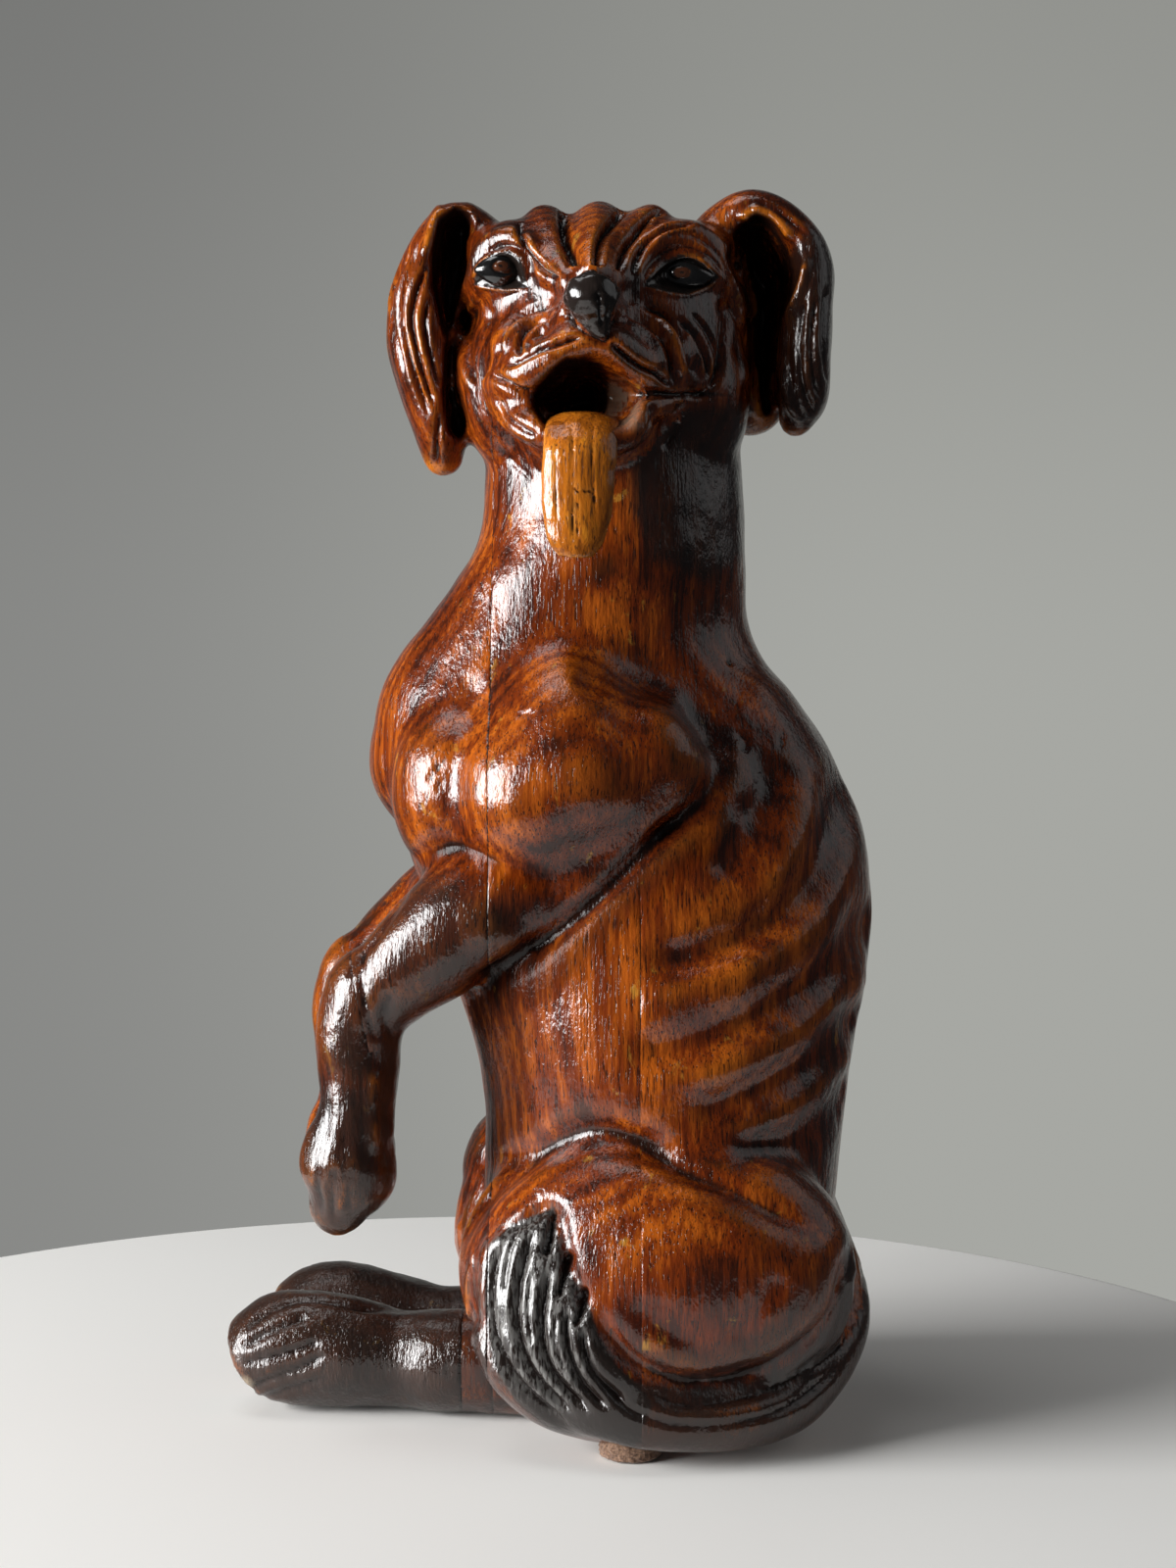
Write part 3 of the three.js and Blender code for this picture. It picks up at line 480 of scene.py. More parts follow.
ribs = {
    "valleys": [([(850, 775), (848, 840), (822, 900), (785, 940), (745, 962), (700, 978), (650, 984)],
                 6.5, 2.2),
                ([(798, 772), (786, 815), (758, 858), (728, 900)], 5.5, 1.4),
                ([(886, 900), (868, 968), (835, 1000), (800, 1022), (765, 1043), (730, 1057), (690, 1068),
                  (630, 1078)], 6.5, 1.9),
                ([(884, 1010), (850, 1060), (830, 1080), (800, 1100), (770, 1115), (735, 1130),
                  (700, 1137)], 6, 1.6),
                ([(880, 1085), (845, 1135), (800, 1165), (740, 1180)], 6, 1.2)],
    "crests": [([(740, 684), (790, 735), (824, 800), (822, 855), (798, 905), (765, 935)], 8, -1.5),
               ([(868, 838), (860, 890), (838, 935), (800, 968), (750, 994), (690, 1010), (645, 1012)],
                7, -1.2),
               ([(880, 950), (862, 1000), (826, 1040), (785, 1066), (740, 1086), (690, 1100)], 7, -1.0),
               ([(876, 1050), (850, 1096), (815, 1126), (770, 1144), (720, 1156)], 7, -0.8)],
}


roundGrooves = ("betweenBreasts", "overShoulder", "bladeFront")   # the others come to a sharp bottom
farGrooves = ("haunchTop", "underArm", "behindShoulder", "overShoulder")   # carved on both sides of the dog


def carveBigForms(skin):
    for outline, depth, soft in bigForms.values():
        press(skin, outline, depth, soft)
    for name, groove in bodyGrooves.items():
        carve(skin, *groove, shape="round" if name in roundGrooves else "cusp")
    for name in farGrooves:
        carve(skin, *bodyGrooves[name], side="far")
    for groove in ribs["valleys"] + ribs["crests"]:
        for side in ("near", "far"):
            carve(skin, *groove, shape="round", side=side)


# Fine carving, drawn on the picture: line, half width, depth
faceLines = {
    "foreheadGrooves": [([(529, 222), (533, 240), (536, 254), (552, 272), (574, 294)], 1.8, 2.0),
                        ([(577, 206), (575, 228), (578, 248), (585, 270), (590, 284)], 1.9, 3.0),
                        ([(641, 206), (625, 226), (614, 243), (611, 262), (613, 280)], 1.9, 3.0),
                        ([(680, 212), (660, 225), (644, 242), (635, 262), (635, 284)], 1.8, 2.7),
                        ([(712, 226), (682, 232), (661, 245), (650, 266), (647, 286)], 1.4, 1.6)],
    "browGrooves": [([(655, 289), (664, 270), (682, 256), (706, 252), (727, 263), (742, 286)], 1.3, 0.9),
                    ([(672, 246), (694, 238), (718, 246), (738, 268), (750, 300)], 1.2, 0.6),
                    ([(496, 262), (512, 251), (530, 255), (545, 280)], 1.3, 0.9)],
    "leftLids": [([(657, 292), (665, 280), (680, 268), (698, 261), (716, 266), (733, 283)], 0.9, -0.7),
                 ([(657, 292), (680, 299), (702, 301), (722, 293), (733, 283)], 0.9, -0.6)],
    "rightLids": [([(483, 290), (490, 272), (504, 260), (520, 258), (532, 268), (539, 293)], 1.2, -0.9),
                  ([(483, 291), (512, 296), (539, 294)], 0.8, -0.5)],
    "muzzleFolds": [([(636, 315), (660, 326), (677, 344), (686, 366), (690, 396)], 1.7, 2.1),
                    ([(652, 308), (680, 322), (697, 344), (706, 366), (710, 390)], 1.6, 1.8),
                    ([(690, 322), (708, 342), (719, 364), (724, 388)], 1.3, 1.3),
                    ([(704, 318), (720, 336), (731, 362), (732, 384)], 1.1, 0.9),
                    ([(733, 304), (741, 322), (738, 352), (733, 380), (722, 400)], 1.9, 2.0),
                    ([(742, 300), (756, 340), (764, 380), (760, 410)], 1.5, 1.2),
                    ([(622, 348), (638, 363), (655, 375), (672, 382), (690, 398)], 1.7, 2.0),
                    ([(566, 308), (540, 318), (520, 330), (510, 346), (506, 368)], 1.5, 1.6),
                    ([(562, 323), (543, 330), (532, 344), (528, 364)], 1.3, 1.5),
                    ([(596, 341), (572, 350), (550, 356), (530, 366), (514, 374)], 1.5, 1.7),
                    ([(556, 338), (543, 346), (536, 358)], 1.0, 0.8),
                    ([(600, 344), (580, 345), (562, 350)], 1.0, 0.7)],
    "muzzleRidges": [([(668, 322), (688, 343), (696, 366), (698, 388)], 1.4, -0.8),
                     ([(700, 336), (713, 360), (718, 386)], 1.2, -0.6),
                     ([(750, 312), (759, 350), (763, 400)], 1.8, -0.9),
                     ([(556, 316), (532, 326), (517, 342), (512, 362)], 1.3, -0.7),
                     ([(560, 330), (548, 336), (540, 350)], 1.2, -0.6),
                     ([(636, 330), (660, 352), (676, 376)], 3.0, -0.5)],
    "cheekFolds": [([(492, 296), (480, 335), (479, 372), (492, 408), (502, 446)], 1.6, 1.2),
                   ([(486, 300), (474, 340), (473, 372), (484, 404)], 1.8, -0.8),
                   ([(503, 312), (496, 340), (498, 372)], 1.2, 0.8)],
    "mouthCorners": [([(501, 380), (514, 390), (530, 399), (549, 403)], 1.6, 2.0),
                     ([(648, 404), (668, 401), (690, 403), (708, 403), (728, 398)], 1.6, 1.8)],
    "lowerLip": [([(506, 402), (516, 424), (530, 436), (548, 446)], 1.5, 1.3),
                 ([(503, 414), (512, 438), (530, 452), (552, 466)], 1.5, 1.2),
                 ([(498, 400), (503, 440), (520, 468), (548, 494)], 1.5, 0.4),
                 ([(664, 408), (668, 430), (656, 462)], 1.8, 1.5),
                 ([(690, 406), (692, 430), (676, 460)], 1.8, 0.8)],
    "underNose": [([(572, 300), (575, 318), (586, 332), (602, 343), (618, 349), (626, 336), (634, 318),
                    (642, 306)], 1.5, 1.5),
                  ([(610, 296), (613, 316), (615, 336)], 0.9, 0.9), ([(622, 310), (619, 328)], 0.9, 0.5)],
}

earLines = {
    "leftOuter": [([(812, 250), (823, 268), (816, 300), (803, 332), (800, 370), (806, 408), (824, 442)],
                   1.5, -1.5),
                  ([(822, 300), (814, 345), (818, 390), (832, 426)], 1.5, 1.1),
                  ([(834, 300), (828, 345), (832, 390), (842, 412)], 1.4, 1.0),
                  ([(844, 290), (840, 345), (846, 395)], 1.3, 0.8),
                  ([(752, 226), (772, 214), (792, 222), (810, 246)], 1.6, -1.2),
                  ([(770, 204), (800, 222), (830, 244)], 1.5, 0.8)],
    "rightOuter": [([(430, 240), (412, 285), (408, 330), (424, 390), (440, 430)], 1.4, 1.6),
                   ([(422, 245), (400, 290), (398, 330), (414, 390)], 1.3, 1.3),
                   ([(440, 262), (424, 300), (420, 335), (434, 390), (446, 420)], 1.4, 1.6),
                   ([(440, 300), (434, 330), (442, 370), (450, 400)], 1.3, 1.3),
                   ([(450, 420), (446, 450), (446, 476)], 1.4, 1.2),
                   ([(452, 206), (440, 232), (434, 262)], 1.6, -0.7)],
}

pawLines = {
    "foreleg": [([(412, 906), (396, 936), (376, 966), (352, 1000)], 1.5, 0.8),
                ([(418, 905), (398, 938), (372, 972)], 1.8, 0.5),
                ([(369, 958), (369, 1000), (374, 1034), (384, 1066)], 0.9, 0.9),
                ([(400, 1012), (392, 1040), (404, 1062)], 3.2, 1.0),
                ([(384, 1090), (380, 1130), (384, 1180)], 2.4, -0.7)],
    "forepaw": [([(338, 1120), (332, 1160), (322, 1200)], 1.6, 0.5),
                ([(352, 1150), (350, 1186), (344, 1226)], 1.4, 0.5),
                ([(326, 1190), (324, 1215), (330, 1240)], 1.3, 0.9),
                ([(342, 1192), (338, 1220), (340, 1246)], 1.3, 0.9),
                ([(358, 1190), (356, 1214), (356, 1236)], 1.3, 0.8)],
    "toes": [([(400, 1337), (350, 1331), (315, 1326), (285, 1333), (262, 1346), (250, 1364)], 1.5, 1.2),
             ([(318, 1343), (290, 1352), (262, 1366), (246, 1376)], 1.6, 1.3),
             ([(330, 1366), (300, 1378), (270, 1386), (243, 1392)], 1.6, 1.3),
             ([(334, 1380), (305, 1396), (270, 1410), (250, 1422)], 1.5, 1.2),
             ([(338, 1402), (310, 1413), (280, 1423), (258, 1428)], 1.3, 0.9),
             ([(360, 1330), (400, 1334), (452, 1332)], 2.0, 0.6)],
}

cracks = {   # chips and nicks in the chest and shoulder
    "chestPit": [([(450, 777), (446, 786), (441, 790), (437, 800)], 0.9, 1.0),
                 ([(446, 797), (449, 804)], 0.9, 0.9)],
    "chestNicks": [([(526, 731), (534, 729), (545, 728)], 0.8, 0.8), ([(536, 701), (545, 699)], 0.8, 0.6)],
    "shoulderPits": [([(742, 674), (747, 678)], 1.0, 1.0), ([(801, 746), (797, 756), (795, 766)], 0.9, 0.9),
                     ([(752, 748), (762, 756), (758, 768)], 1.4, 0.8)],
}

brushLines = {
    "locks": [([(514, 1258), (502, 1286), (498, 1320), (502, 1360), (520, 1400), (548, 1432), (584, 1458)],
               1.9, 2.2),
              ([(546, 1252), (536, 1280), (528, 1310), (526, 1346), (534, 1384), (556, 1418), (590, 1450)],
               1.9, 2.2),
              ([(562, 1288), (556, 1316), (552, 1350), (556, 1384), (574, 1414), (604, 1444)], 1.9, 2.2),
              ([(580, 1330), (577, 1358), (582, 1386), (596, 1414), (622, 1440)], 1.7, 2.0),
              ([(596, 1352), (597, 1378), (610, 1406), (640, 1432)], 1.6, 1.6),
              ([(528, 1256), (518, 1284), (513, 1320)], 1.0, 0.7),
              ([(541, 1300), (539, 1340), (544, 1376)], 0.9, 0.6),
              ([(568, 1340), (566, 1370), (578, 1400)], 0.9, 0.6)],
    "tips": [([(566, 1232), (562, 1256), (556, 1284)], 2.0, 2.6),
             ([(580, 1276), (577, 1302), (568, 1326)], 1.9, 2.4),
             ([(594, 1312), (594, 1336), (584, 1356)], 1.8, 2.2)],
    "rim": [([(500, 1262), (484, 1290), (480, 1330), (492, 1380), (520, 1420)], 1.8, -0.8)],
    "tailHair": [([(850, 1370), (800, 1412), (740, 1430), (690, 1432), (650, 1412)], 1.6, 0.8),
                 ([(862, 1388), (810, 1432), (750, 1452), (690, 1454), (640, 1436), (610, 1400)], 1.8, 1.0),
                 ([(870, 1290), (876, 1330), (862, 1368), (820, 1404)], 1.6, 0.8)],
}


def carveFine(skin):
    for group in (faceLines, earLines, pawLines, brushLines, cracks):
        for lines in group.values():
            for line, half, depth in lines:
                carve(skin, line, half, depth, shape="round" if depth < 0 else "cusp")
    for line, half, depth in pawLines["foreleg"][:2]:
        carve(skin, line, half, depth, side="far")


skinning = {
    "roughVoxel": 1.2,
    "voxel": 0.92,
    "finer": [((6, -47, 203), (99, 56, 999)), ((30, -28, -9), (99, 12, 55))],   # face and ears, brush
    "chest": ((100, 114), (196, 208)),   # heights between which it begins, and ends
    "fillRounds": (5, 18),               # everywhere, and more on the chest
    "melt": {"height": (112, 122), "out": (10, 18), "back": (-34, -20)},   # where the shoulders run together
    "meltRounds": 45,
    "evenMasses": (6, 0.5, 0.5),         # rounds, amount, swell
    "evenForms": (2, 0.5, 0.45),
    "evenGouged": (1, 0.35),
    "floor": 0.02,
}
gouges = {   # size of the facets that a gouge leaves, their depth, their place in the noise
    "all": (8.0, 0.26, 3.0),
    "limbs": (4.4, 0.24, 9.0),
    "nose": (2.6, 0.55, 2.0),
    "tongue": (4.0, 0.22, 5.0),
    "feetOnly": ((30, 24), (-10, -22)),   # heights and places in Y between which the limbs' facets set in
    "pawsOnly": ((96, 84), (-34, -40)),
    "noseOnly": ((43, 1.5, 241), (9, 6)),
}


def chiselMarks(skin, size, depth, seed, share=1.0):
    lumps = np.array([noise.noise(Vector(p) / size + Vector((seed, 0, 0))) for p in skin["points"]])
    skin["points"] += skin["normals"] * (lumps * (depth * share))[:, None]


def finerThere(mesh):   # a finer skin on the face, the front of the ears and the brush
    bm = bmesh.new()
    bm.from_mesh(mesh)
    edges = [e for e in bm.edges if any(all(a < c < b for v in e.verts for a, c, b in zip(low, v.co, high))
                                        for low, high in skinning["finer"])]
    bmesh.ops.subdivide_edges(bm, edges=edges, cuts=1, use_grid_fill=True)
    bm.to_mesh(mesh)
    bm.free()
    return mesh


def even(skin, how):
    skin["points"] = relaxed(skin["points"], skin["edges"], *skinning[how])
    settle(skin)


def joinedMasses():
    skin = readSkin(voxelled(roughDog(), skinning["roughVoxel"]))
    begins, ends = skinning["chest"]
    chest = smoothStep(*begins, skin["points"][:, 2]) * (1 - smoothStep(*ends, skin["points"][:, 2]))
    everywhere, more = skinning["fillRounds"]
    filled(skin, everywhere + more * chest)
    x, y, z = skin["points"].T
    where = skinning["melt"]
    melt = (smoothStep(*where["height"], z) * chest * smoothStep(*where["out"], np.abs(x))
            * smoothStep(*where["back"], y))
    run = relaxed(skin["points"], skin["edges"], skinning["meltRounds"])
    skin["points"] += (run - skin["points"]) * melt[:, None]
    even(skin, "evenMasses")
    return skin


def gouge(skin):
    y, z = skin["points"].T[1:]
    limbs = [smoothStep(*gouges[name][0], z) * smoothStep(*gouges[name][1], y)
             for name in ("feetOnly", "pawsOnly")]
    chiselMarks(skin, *gouges["all"])
    chiselMarks(skin, *gouges["limbs"], share=np.maximum(*limbs))
    middle, fade = gouges["noseOnly"]
    away = np.linalg.norm(skin["points"] - middle, axis=1)
    chiselMarks(skin, *gouges["nose"], share=smoothStep(*fade, away))
    settle(skin)


skin = joinedMasses()
print("masses joined:", len(skin["points"]))
carveBigForms(skin)
settle(skin)
even(skin, "evenForms")
skin = readSkin(finerThere(voxelled(skin["mesh"], skinning["voxel"])))
even(skin, "evenForms")
carveFine(skin)
gouge(skin)
even(skin, "evenGouged")
skin["points"][:, 2] = np.maximum(skin["points"][:, 2], skinning["floor"])
settle(skin)
print("carved:", len(skin["points"]))


# Stains, wear and painted shade, kept on the skin as point values: 0 is none
stainsAndShade = {   # outline, softness, strength: dark stains, and painted shade where noted
    "nose": ([(573, 303), (580, 285), (600, 275), (621, 277), (634, 291), (634, 306), (624, 320),
              (622, 346), (606, 346), (592, 330), (578, 318)], 0.6, 1.0),
    "rightEyeRim": ([(483, 291), (487, 272), (502, 258), (520, 255), (532, 264), (540, 294), (512, 296)],
                    0.6, 0.97),
    "leftEyeRim": ([(656, 292), (663, 280), (675, 268), (692, 259), (708, 260), (722, 268), (734, 283),
                    (722, 293), (702, 301), (682, 299)], 0.6, 0.97),
    "brush": ([(500, 1268), (520, 1249), (545, 1239), (567, 1230), (572, 1274), (584, 1300), (602, 1330),
               (612, 1362), (630, 1393), (652, 1412), (670, 1430), (640, 1500), (600, 1486), (560, 1462),
               (524, 1430), (502, 1395), (494, 1340), (494, 1290)], 1.4, 0.97),
    "tail": ([(610, 1380), (640, 1406), (700, 1414), (760, 1408), (812, 1386), (845, 1348), (856, 1300),
              (858, 1235), (900, 1235), (900, 1360), (860, 1430), (780, 1500), (600, 1500), (590, 1440)],
              2.6, 0.80),
    # painted shade along the haunch's lower edge
    "haunchLow": ([(600, 1352), (640, 1398), (700, 1412), (760, 1408), (812, 1386), (850, 1340),
                   (858, 1270), (830, 1290), (780, 1350), (700, 1380), (640, 1366)], 4.0, 0.5),
    # painted shade on the forearm's back face, turned away from the lamp
    "behindForearm": ([(378, 1000), (384, 1060), (380, 1120), (384, 1180), (380, 1262), (430, 1262),
                       (420, 1040), (408, 1004)], 2.5, 0.72),
    "forepaw": ([(290, 1100), (350, 1085), (420, 1080), (420, 1290), (290, 1290)], 16.0, 0.78),
    # grime and painted shade in the crease under the foreleg
    "armpit": ([(722, 812), (655, 872), (560, 955), (466, 1014), (462, 1080), (520, 1060), (590, 1000),
                (660, 930), (730, 860)], 6.0, 0.42),
    "foreleg": ([(320, 1000), (395, 880), (430, 872), (500, 905), (560, 920), (520, 985), (440, 1040),
                 (400, 1080), (400, 1160), (310, 1160)], 12.0, 0.66),
    "throatShade": ([(636, 452), (664, 440), (690, 410), (762, 408), (772, 560), (720, 600), (660, 570),
                     (640, 520)], 5.0, 0.72),
    "mouthCorner": ([(654, 400), (690, 400), (730, 399), (745, 404), (700, 407), (660, 409)], 0.6, 0.6),
    # painted shade on the belly, where the forelegs keep off the lamp's light
    "bellyFront": ([(440, 1015), (520, 985), (548, 1040), (548, 1160), (500, 1190), (470, 1200),
                    (470, 1080)], 7.0, 0.5),
    # painted shade on the left ear's outer flap, on the side away from the lamp
    "leftEarFold": ([(800, 262), (796, 330), (790, 400), (800, 440), (850, 440), (860, 262), (830, 225)],
                    3.0, 0.75),
}
fair = {   # where the lacquer is thin and the wood glows through it
    "forehead": ([(535, 218), (560, 205), (612, 203), (665, 206), (696, 226), (650, 262), (620, 282),
                  (590, 282), (556, 268)], 3.0, 0.8),
    "cheek": ([(488, 300), (570, 310), (600, 352), (556, 362), (520, 470), (488, 420)], 3.0, 0.6),
    "lips": ([(505, 380), (560, 350), (610, 348), (660, 390), (640, 400), (600, 362), (560, 376),
              (540, 400)], 1.5, 0.6),
    "neck": ([(498, 480), (600, 590), (650, 640), (640, 700), (480, 700), (400, 730), (410, 660),
              (470, 600)], 9.0, 0.7),
    "breast": ([(400, 690), (640, 690), (650, 760), (600, 850), (520, 870), (400, 850)], 10.0, 0.35),
    "flank": ([(650, 890), (760, 870), (850, 890), (860, 1050), (800, 1140), (700, 1150), (640, 1110),
               (610, 1040), (610, 960)], 11.0, 0.6),
    "haunch": ([(590, 1190), (700, 1195), (750, 1260), (700, 1330), (620, 1320), (600, 1260)], 9.0, 0.6),
}
hollows = {   # outline, softness, strength: where no light and much dust gets in, painted near-black as dust and shade
    "mouth": (bigForms["mouth"][0], 1.0, 1.0),
    "leftEar": (bigForms["leftEarHollow"][0], 1.5, 1.0),
    "rightEar": (bigForms["rightEarHollow"][0], 1.5, 1.0),
    "rightEarSlot": (bigForms["rightEarSlot"][0], 1.0, 0.8),
}
dulled = {   # where grime has killed the gloss
    "armpit": ([(724, 808), (655, 866), (560, 950), (462, 1010), (458, 1060), (510, 1056), (580, 1010),
                (650, 945), (730, 870)], 6.0, 0.9),
    "underBreast": ([(396, 880), (440, 850), (480, 844), (520, 862), (570, 890), (560, 920), (500, 905),
                     (460, 898), (420, 900)], 4.0, 0.8),
    "bellyFront": (stainsAndShade["bellyFront"][0], 7.0, 0.5),
}
# where the brush's black turns grey: worn fibres, and painted sheen on the crests that face the lamp
greyHairAndSheen = [(494, 1268), (520, 1246), (545, 1236), (566, 1228), (574, 1274), (584, 1300), (598, 1340),
              (604, 1380), (598, 1420), (570, 1440), (530, 1424), (502, 1398), (488, 1340)]
# pale patch in the mouth: worn lacquer, and painted light where the inner wall faces the lamp
mouthWornAndLit = [(600, 420), (612, 396), (624, 386), (638, 392), (656, 408), (652, 438), (604, 440)]
wear = {
    "fineRounds": 8,           # of smoothing, to tell the small hollows from the small crests
    "broadRounds": 60,
    "fineHollow": (0.03, 0.4, 0.75),     # from none to full, in mm, and its share
    "broadHollow": (0.1, 1.4, 0.6),
    "fineCrest": (0.04, 0.3, 0.25),
    "headCrest": (205, 215, 0.35),       # heights between which the head's crests are worn this much more
    "broadCrest": (0.15, 1.3, 0.55),
    "farToo": ("tail", "behindForearm", "forepaw", "foreleg", "armpit"),   # stains and painted shade on the far side as well
    "farShare": 0.9,
    "feet": ((6, -12), (30, 26), 0.66),  # places in Y and heights between which the feet's stain sets in
    # darker towards the bottom: the stain value rises from none at 6 mm height to 0.6 below 2 mm
    "underside": (6, 2, 0.6),
    "toeSpot": {"pixel": (250, 1413), "across": 9, "edge": (1.1, 0.6)},   # end grain through a worn stain
    "mouth": (3.0, 0.5),                 # softness and strength of the pale patch in the mouth: worn lacquer, and painted light on its lit inner wall
    "hollowLeft": 0.85,                  # how much of the dust and painted shade the mouth's pale patch has lost
    "hollowDull": 0.9,
    "greyAndSheen": 7.0,
}


def covered(skin, outline, soft, side="near"):   # 1 inside an outline, and a soft edge round it
    view = skin[side]
    deep = inside(view["pixels"], outline) / view["scale"]
    outside, within = tools["softEdge"]
    return smoothStep(-soft * outside, soft * within, deep) * view["seen"]


def patches(skin, drawn, sides=("near",), share=1.0):   # the strongest of all that is drawn
    most = np.zeros(len(skin["points"]))
    for outline, soft, strength in drawn:
        for side in sides:
            most = np.maximum(most, covered(skin, outline, soft, side) * strength * share)
    return most


def putValue(mesh, name, values):
    layer = mesh.attributes.new(name, "FLOAT", "POINT")
    layer.data.foreach_set("value", np.clip(values, 0, 1).astype(np.float32))


def relief(skin, rounds):   # how deep each point lies in a hollow, in mm; below 0 it stands out
    return ((relaxed(skin["points"], skin["edges"], rounds) - skin["points"]) * skin["normals"]).sum(1)


def crestsAndHollows(skin, height):
    fine, broad = relief(skin, wear["fineRounds"]), relief(skin, wear["broadRounds"])
    low, high, share = wear["fineHollow"]
    cavity = smoothStep(low, high, fine) * share
    low, high, share = wear["broadHollow"]
    cavity = cavity + smoothStep(low, high, broad) * share
    low, high, more = wear["headCrest"]
    onHead = smoothStep(low, high, height) * more
    low, high, share = wear["fineCrest"]
    worn = smoothStep(low, high, -fine) * (share + onHead)
    low, high, share = wear["broadCrest"]
    return cavity, worn + smoothStep(low, high, -broad) * share


def stainedAndShaded(skin, y, z):
    stainAndShade = patches(skin, stainsAndShade.values())
    farStains = [stainsAndShade[name] for name in wear["farToo"]]
    stainAndShade = np.maximum(stainAndShade, patches(skin, farStains, ("far",), wear["farShare"]))
    along, height, strength = wear["feet"]
    stainAndShade = np.maximum(stainAndShade, smoothStep(*along, y) * smoothStep(*height, z) * strength)
    low, high, strength = wear["underside"]
    return np.maximum(stainAndShade, strength * smoothStep(low, high, z))


def wornAndLitPatches(skin):
    soft, strength = wear["mouth"]
    spot = wear["toeSpot"]
    away = np.linalg.norm(skin["near"]["pixels"] - spot["pixel"], axis=1) / spot["across"]
    spotWorn = smoothStep(*spot["edge"], away) * skin["near"]["seen"]
    return np.maximum(strength * covered(skin, mouthWornAndLit, soft), spotWorn)


def weather(skin):
    y, z = skin["points"].T[1:]
    both = ("near", "far")
    cavity, worn = crestsAndHollows(skin, z)
    pale = wornAndLitPatches(skin)
    hollow = patches(skin, hollows.values()) * (1 - wear["hollowLeft"] * pale)
    polished = [(*stainsAndShade[name][:2], 1.0) for name in ("nose", "rightEyeRim", "leftEyeRim")]
    values = {
        "cavity": cavity,
        "worn": worn,
        "stainAndShade": stainedAndShaded(skin, y, z),
        "hollow": hollow,
        "pale": pale,
        "polish": patches(skin, polished),
        "glow": patches(skin, fair.values(), both),
        "greyedAndSheen": covered(skin, greyHairAndSheen, wear["greyAndSheen"]),
        "dull": np.maximum(wear["hollowDull"] * hollow, patches(skin, dulled.values(), both)),
    }
    for name, amount in values.items():
        putValue(skin["mesh"], name, amount)


pointValues = ("cavity", "worn", "stainAndShade", "hollow", "pale", "polish", "glow", "greyedAndSheen", "dull", "seam")


def surfaceAt(skin, pixel, reach=6):   # the place on the skin that the camera sees at a pixel
    view = skin["near"]
    close = (np.linalg.norm(view["pixels"] - pixel, axis=1) < reach) & (view["seen"] > tools["seenWell"])
    return Vector(np.median(skin["points"][close], 0))


weather(skin)
print("stained and worn")


# Sawing the skin into the pieces that the carver glued together
seams = {
    "front": -21.0,       # where the front and middle planks meet, in Y
    "rear": 11.0,         # and the middle and rear planks
    "depth": 0.2,         # of the line along each glued joint
    "allForearm": 84.0,   # below this height the whole arm is forearm
    "allPlank": 24.5,     # above this height the leg is plank as far as the toes
    "toesTop": 29,        # and above this one in front of that
    "betweenFeet": -14,   # in X
    "forearm": {"out": 5, "front": -36, "height": (36, 112)},   # where nothing but the arms can be
    "ripple": (0.8, 0.6, 0.13),   # how the seam's depth varies along it: least, more, how often
    "frontShows": {"all": 0.3, "neck": (228, 214, 0.7), "chest": (143, 149, 168, 162, 0.7)},
    "rearShows": {"all": 0.12, "flank": (80, 90, 122, 112, 0.7)},
    "jointShows": 0.75,
    "jointFade": 2,       # mm
    "sawReach": {"along": 3, "over": 1, "ankle": 4},   # mm from each short cut: no other piece is sawn
}
toFrame = Matrix.Translation(origin) @ Matrix.Diagonal((0.001, 0.001, 0.001, 1))


def saw(bm, at, normal, mark, rims, near=None):
    faces = [f for f in bm.faces if near is None or near(f.calc_center_median())]
    verts = {v for f in faces for v in f.verts}
    edges = {e for f in faces for e in f.edges}
    made = bmesh.ops.bisect_plane(bm, geom=faces + list(edges) + list(verts), dist=0.0005,
                                  plane_co=Vector(at), plane_no=Vector(normal))
    for item in made["geom_cut"]:
        if isinstance(item, bmesh.types.BMEdge):
            item[rims] = mark
            item.smooth = False
    return [item for item in made["geom_cut"] if isinstance(item, bmesh.types.BMVert)]


def wristOf(side):   # a point on the glued joint and the way the forearm goes on from it
    x, y, z = arms["wrist"]
    tilt = math.radians(arms["wristTilt"])
    return (Vector((side * x, y + (arms["farAhead"] if side < 0 else 0), z)),
            Vector((0, -math.cos(tilt), -math.sin(tilt))))


def seamShows(mark, spot):   # how open each glued joint has become, from 0 to 1
    fade = seams["jointFade"]
    if mark == 1:      # front seam: plain to see from the cheek down to the foreleg
        shows = seams["frontShows"]
        low, high, neck = shows["neck"]
        a, b, c, d, chest = shows["chest"]
        return (shows["all"] + neck * smoothStep(low, high, spot.z)
                + chest * smoothStep(a, b, spot.z) * smoothStep(c, d, spot.z))
    if mark == 2:      # rear seam: a crack on the flank only
        a, b, c, d, flank = seams["rearShows"]["flank"]
        return seams["rearShows"]["all"] + flank * smoothStep(a, b, spot.z) * smoothStep(c, d, spot.z)
    if mark == 3:      # ankles
        return seams["jointShows"] * smoothStep(seams["allPlank"], seams["allPlank"] - fade, spot.z)
    return seams["jointShows"] * smoothStep(seams["allForearm"], seams["allForearm"] + fade, spot.z)


def onArm(spot, side):
    arm = seams["forearm"]
    low, high = arm["height"]
    return spot.x * side > arm["out"] and low < spot.z < high and spot.y < arm["front"]


def pieceOf(spot):
    for side, name in ((1, "left_forearm"), (-1, "right_forearm")):
        at, away = wristOf(side)
        if onArm(spot, side) and (spot.z < seams["allForearm"] or (spot - at).dot(away) > 0):
            return name
    if spot.y < feet["ankle"] and spot.z < (seams["allPlank"] if spot.y > feet["toes"] else seams["toesTop"]):
        return "left_hind_foot" if spot.x > seams["betweenFeet"] else "right_hind_foot"
    if spot.y < seams["front"]:
        return "front_plank"
    return "middle_plank" if spot.y < seams["rear"] else "rear_plank"


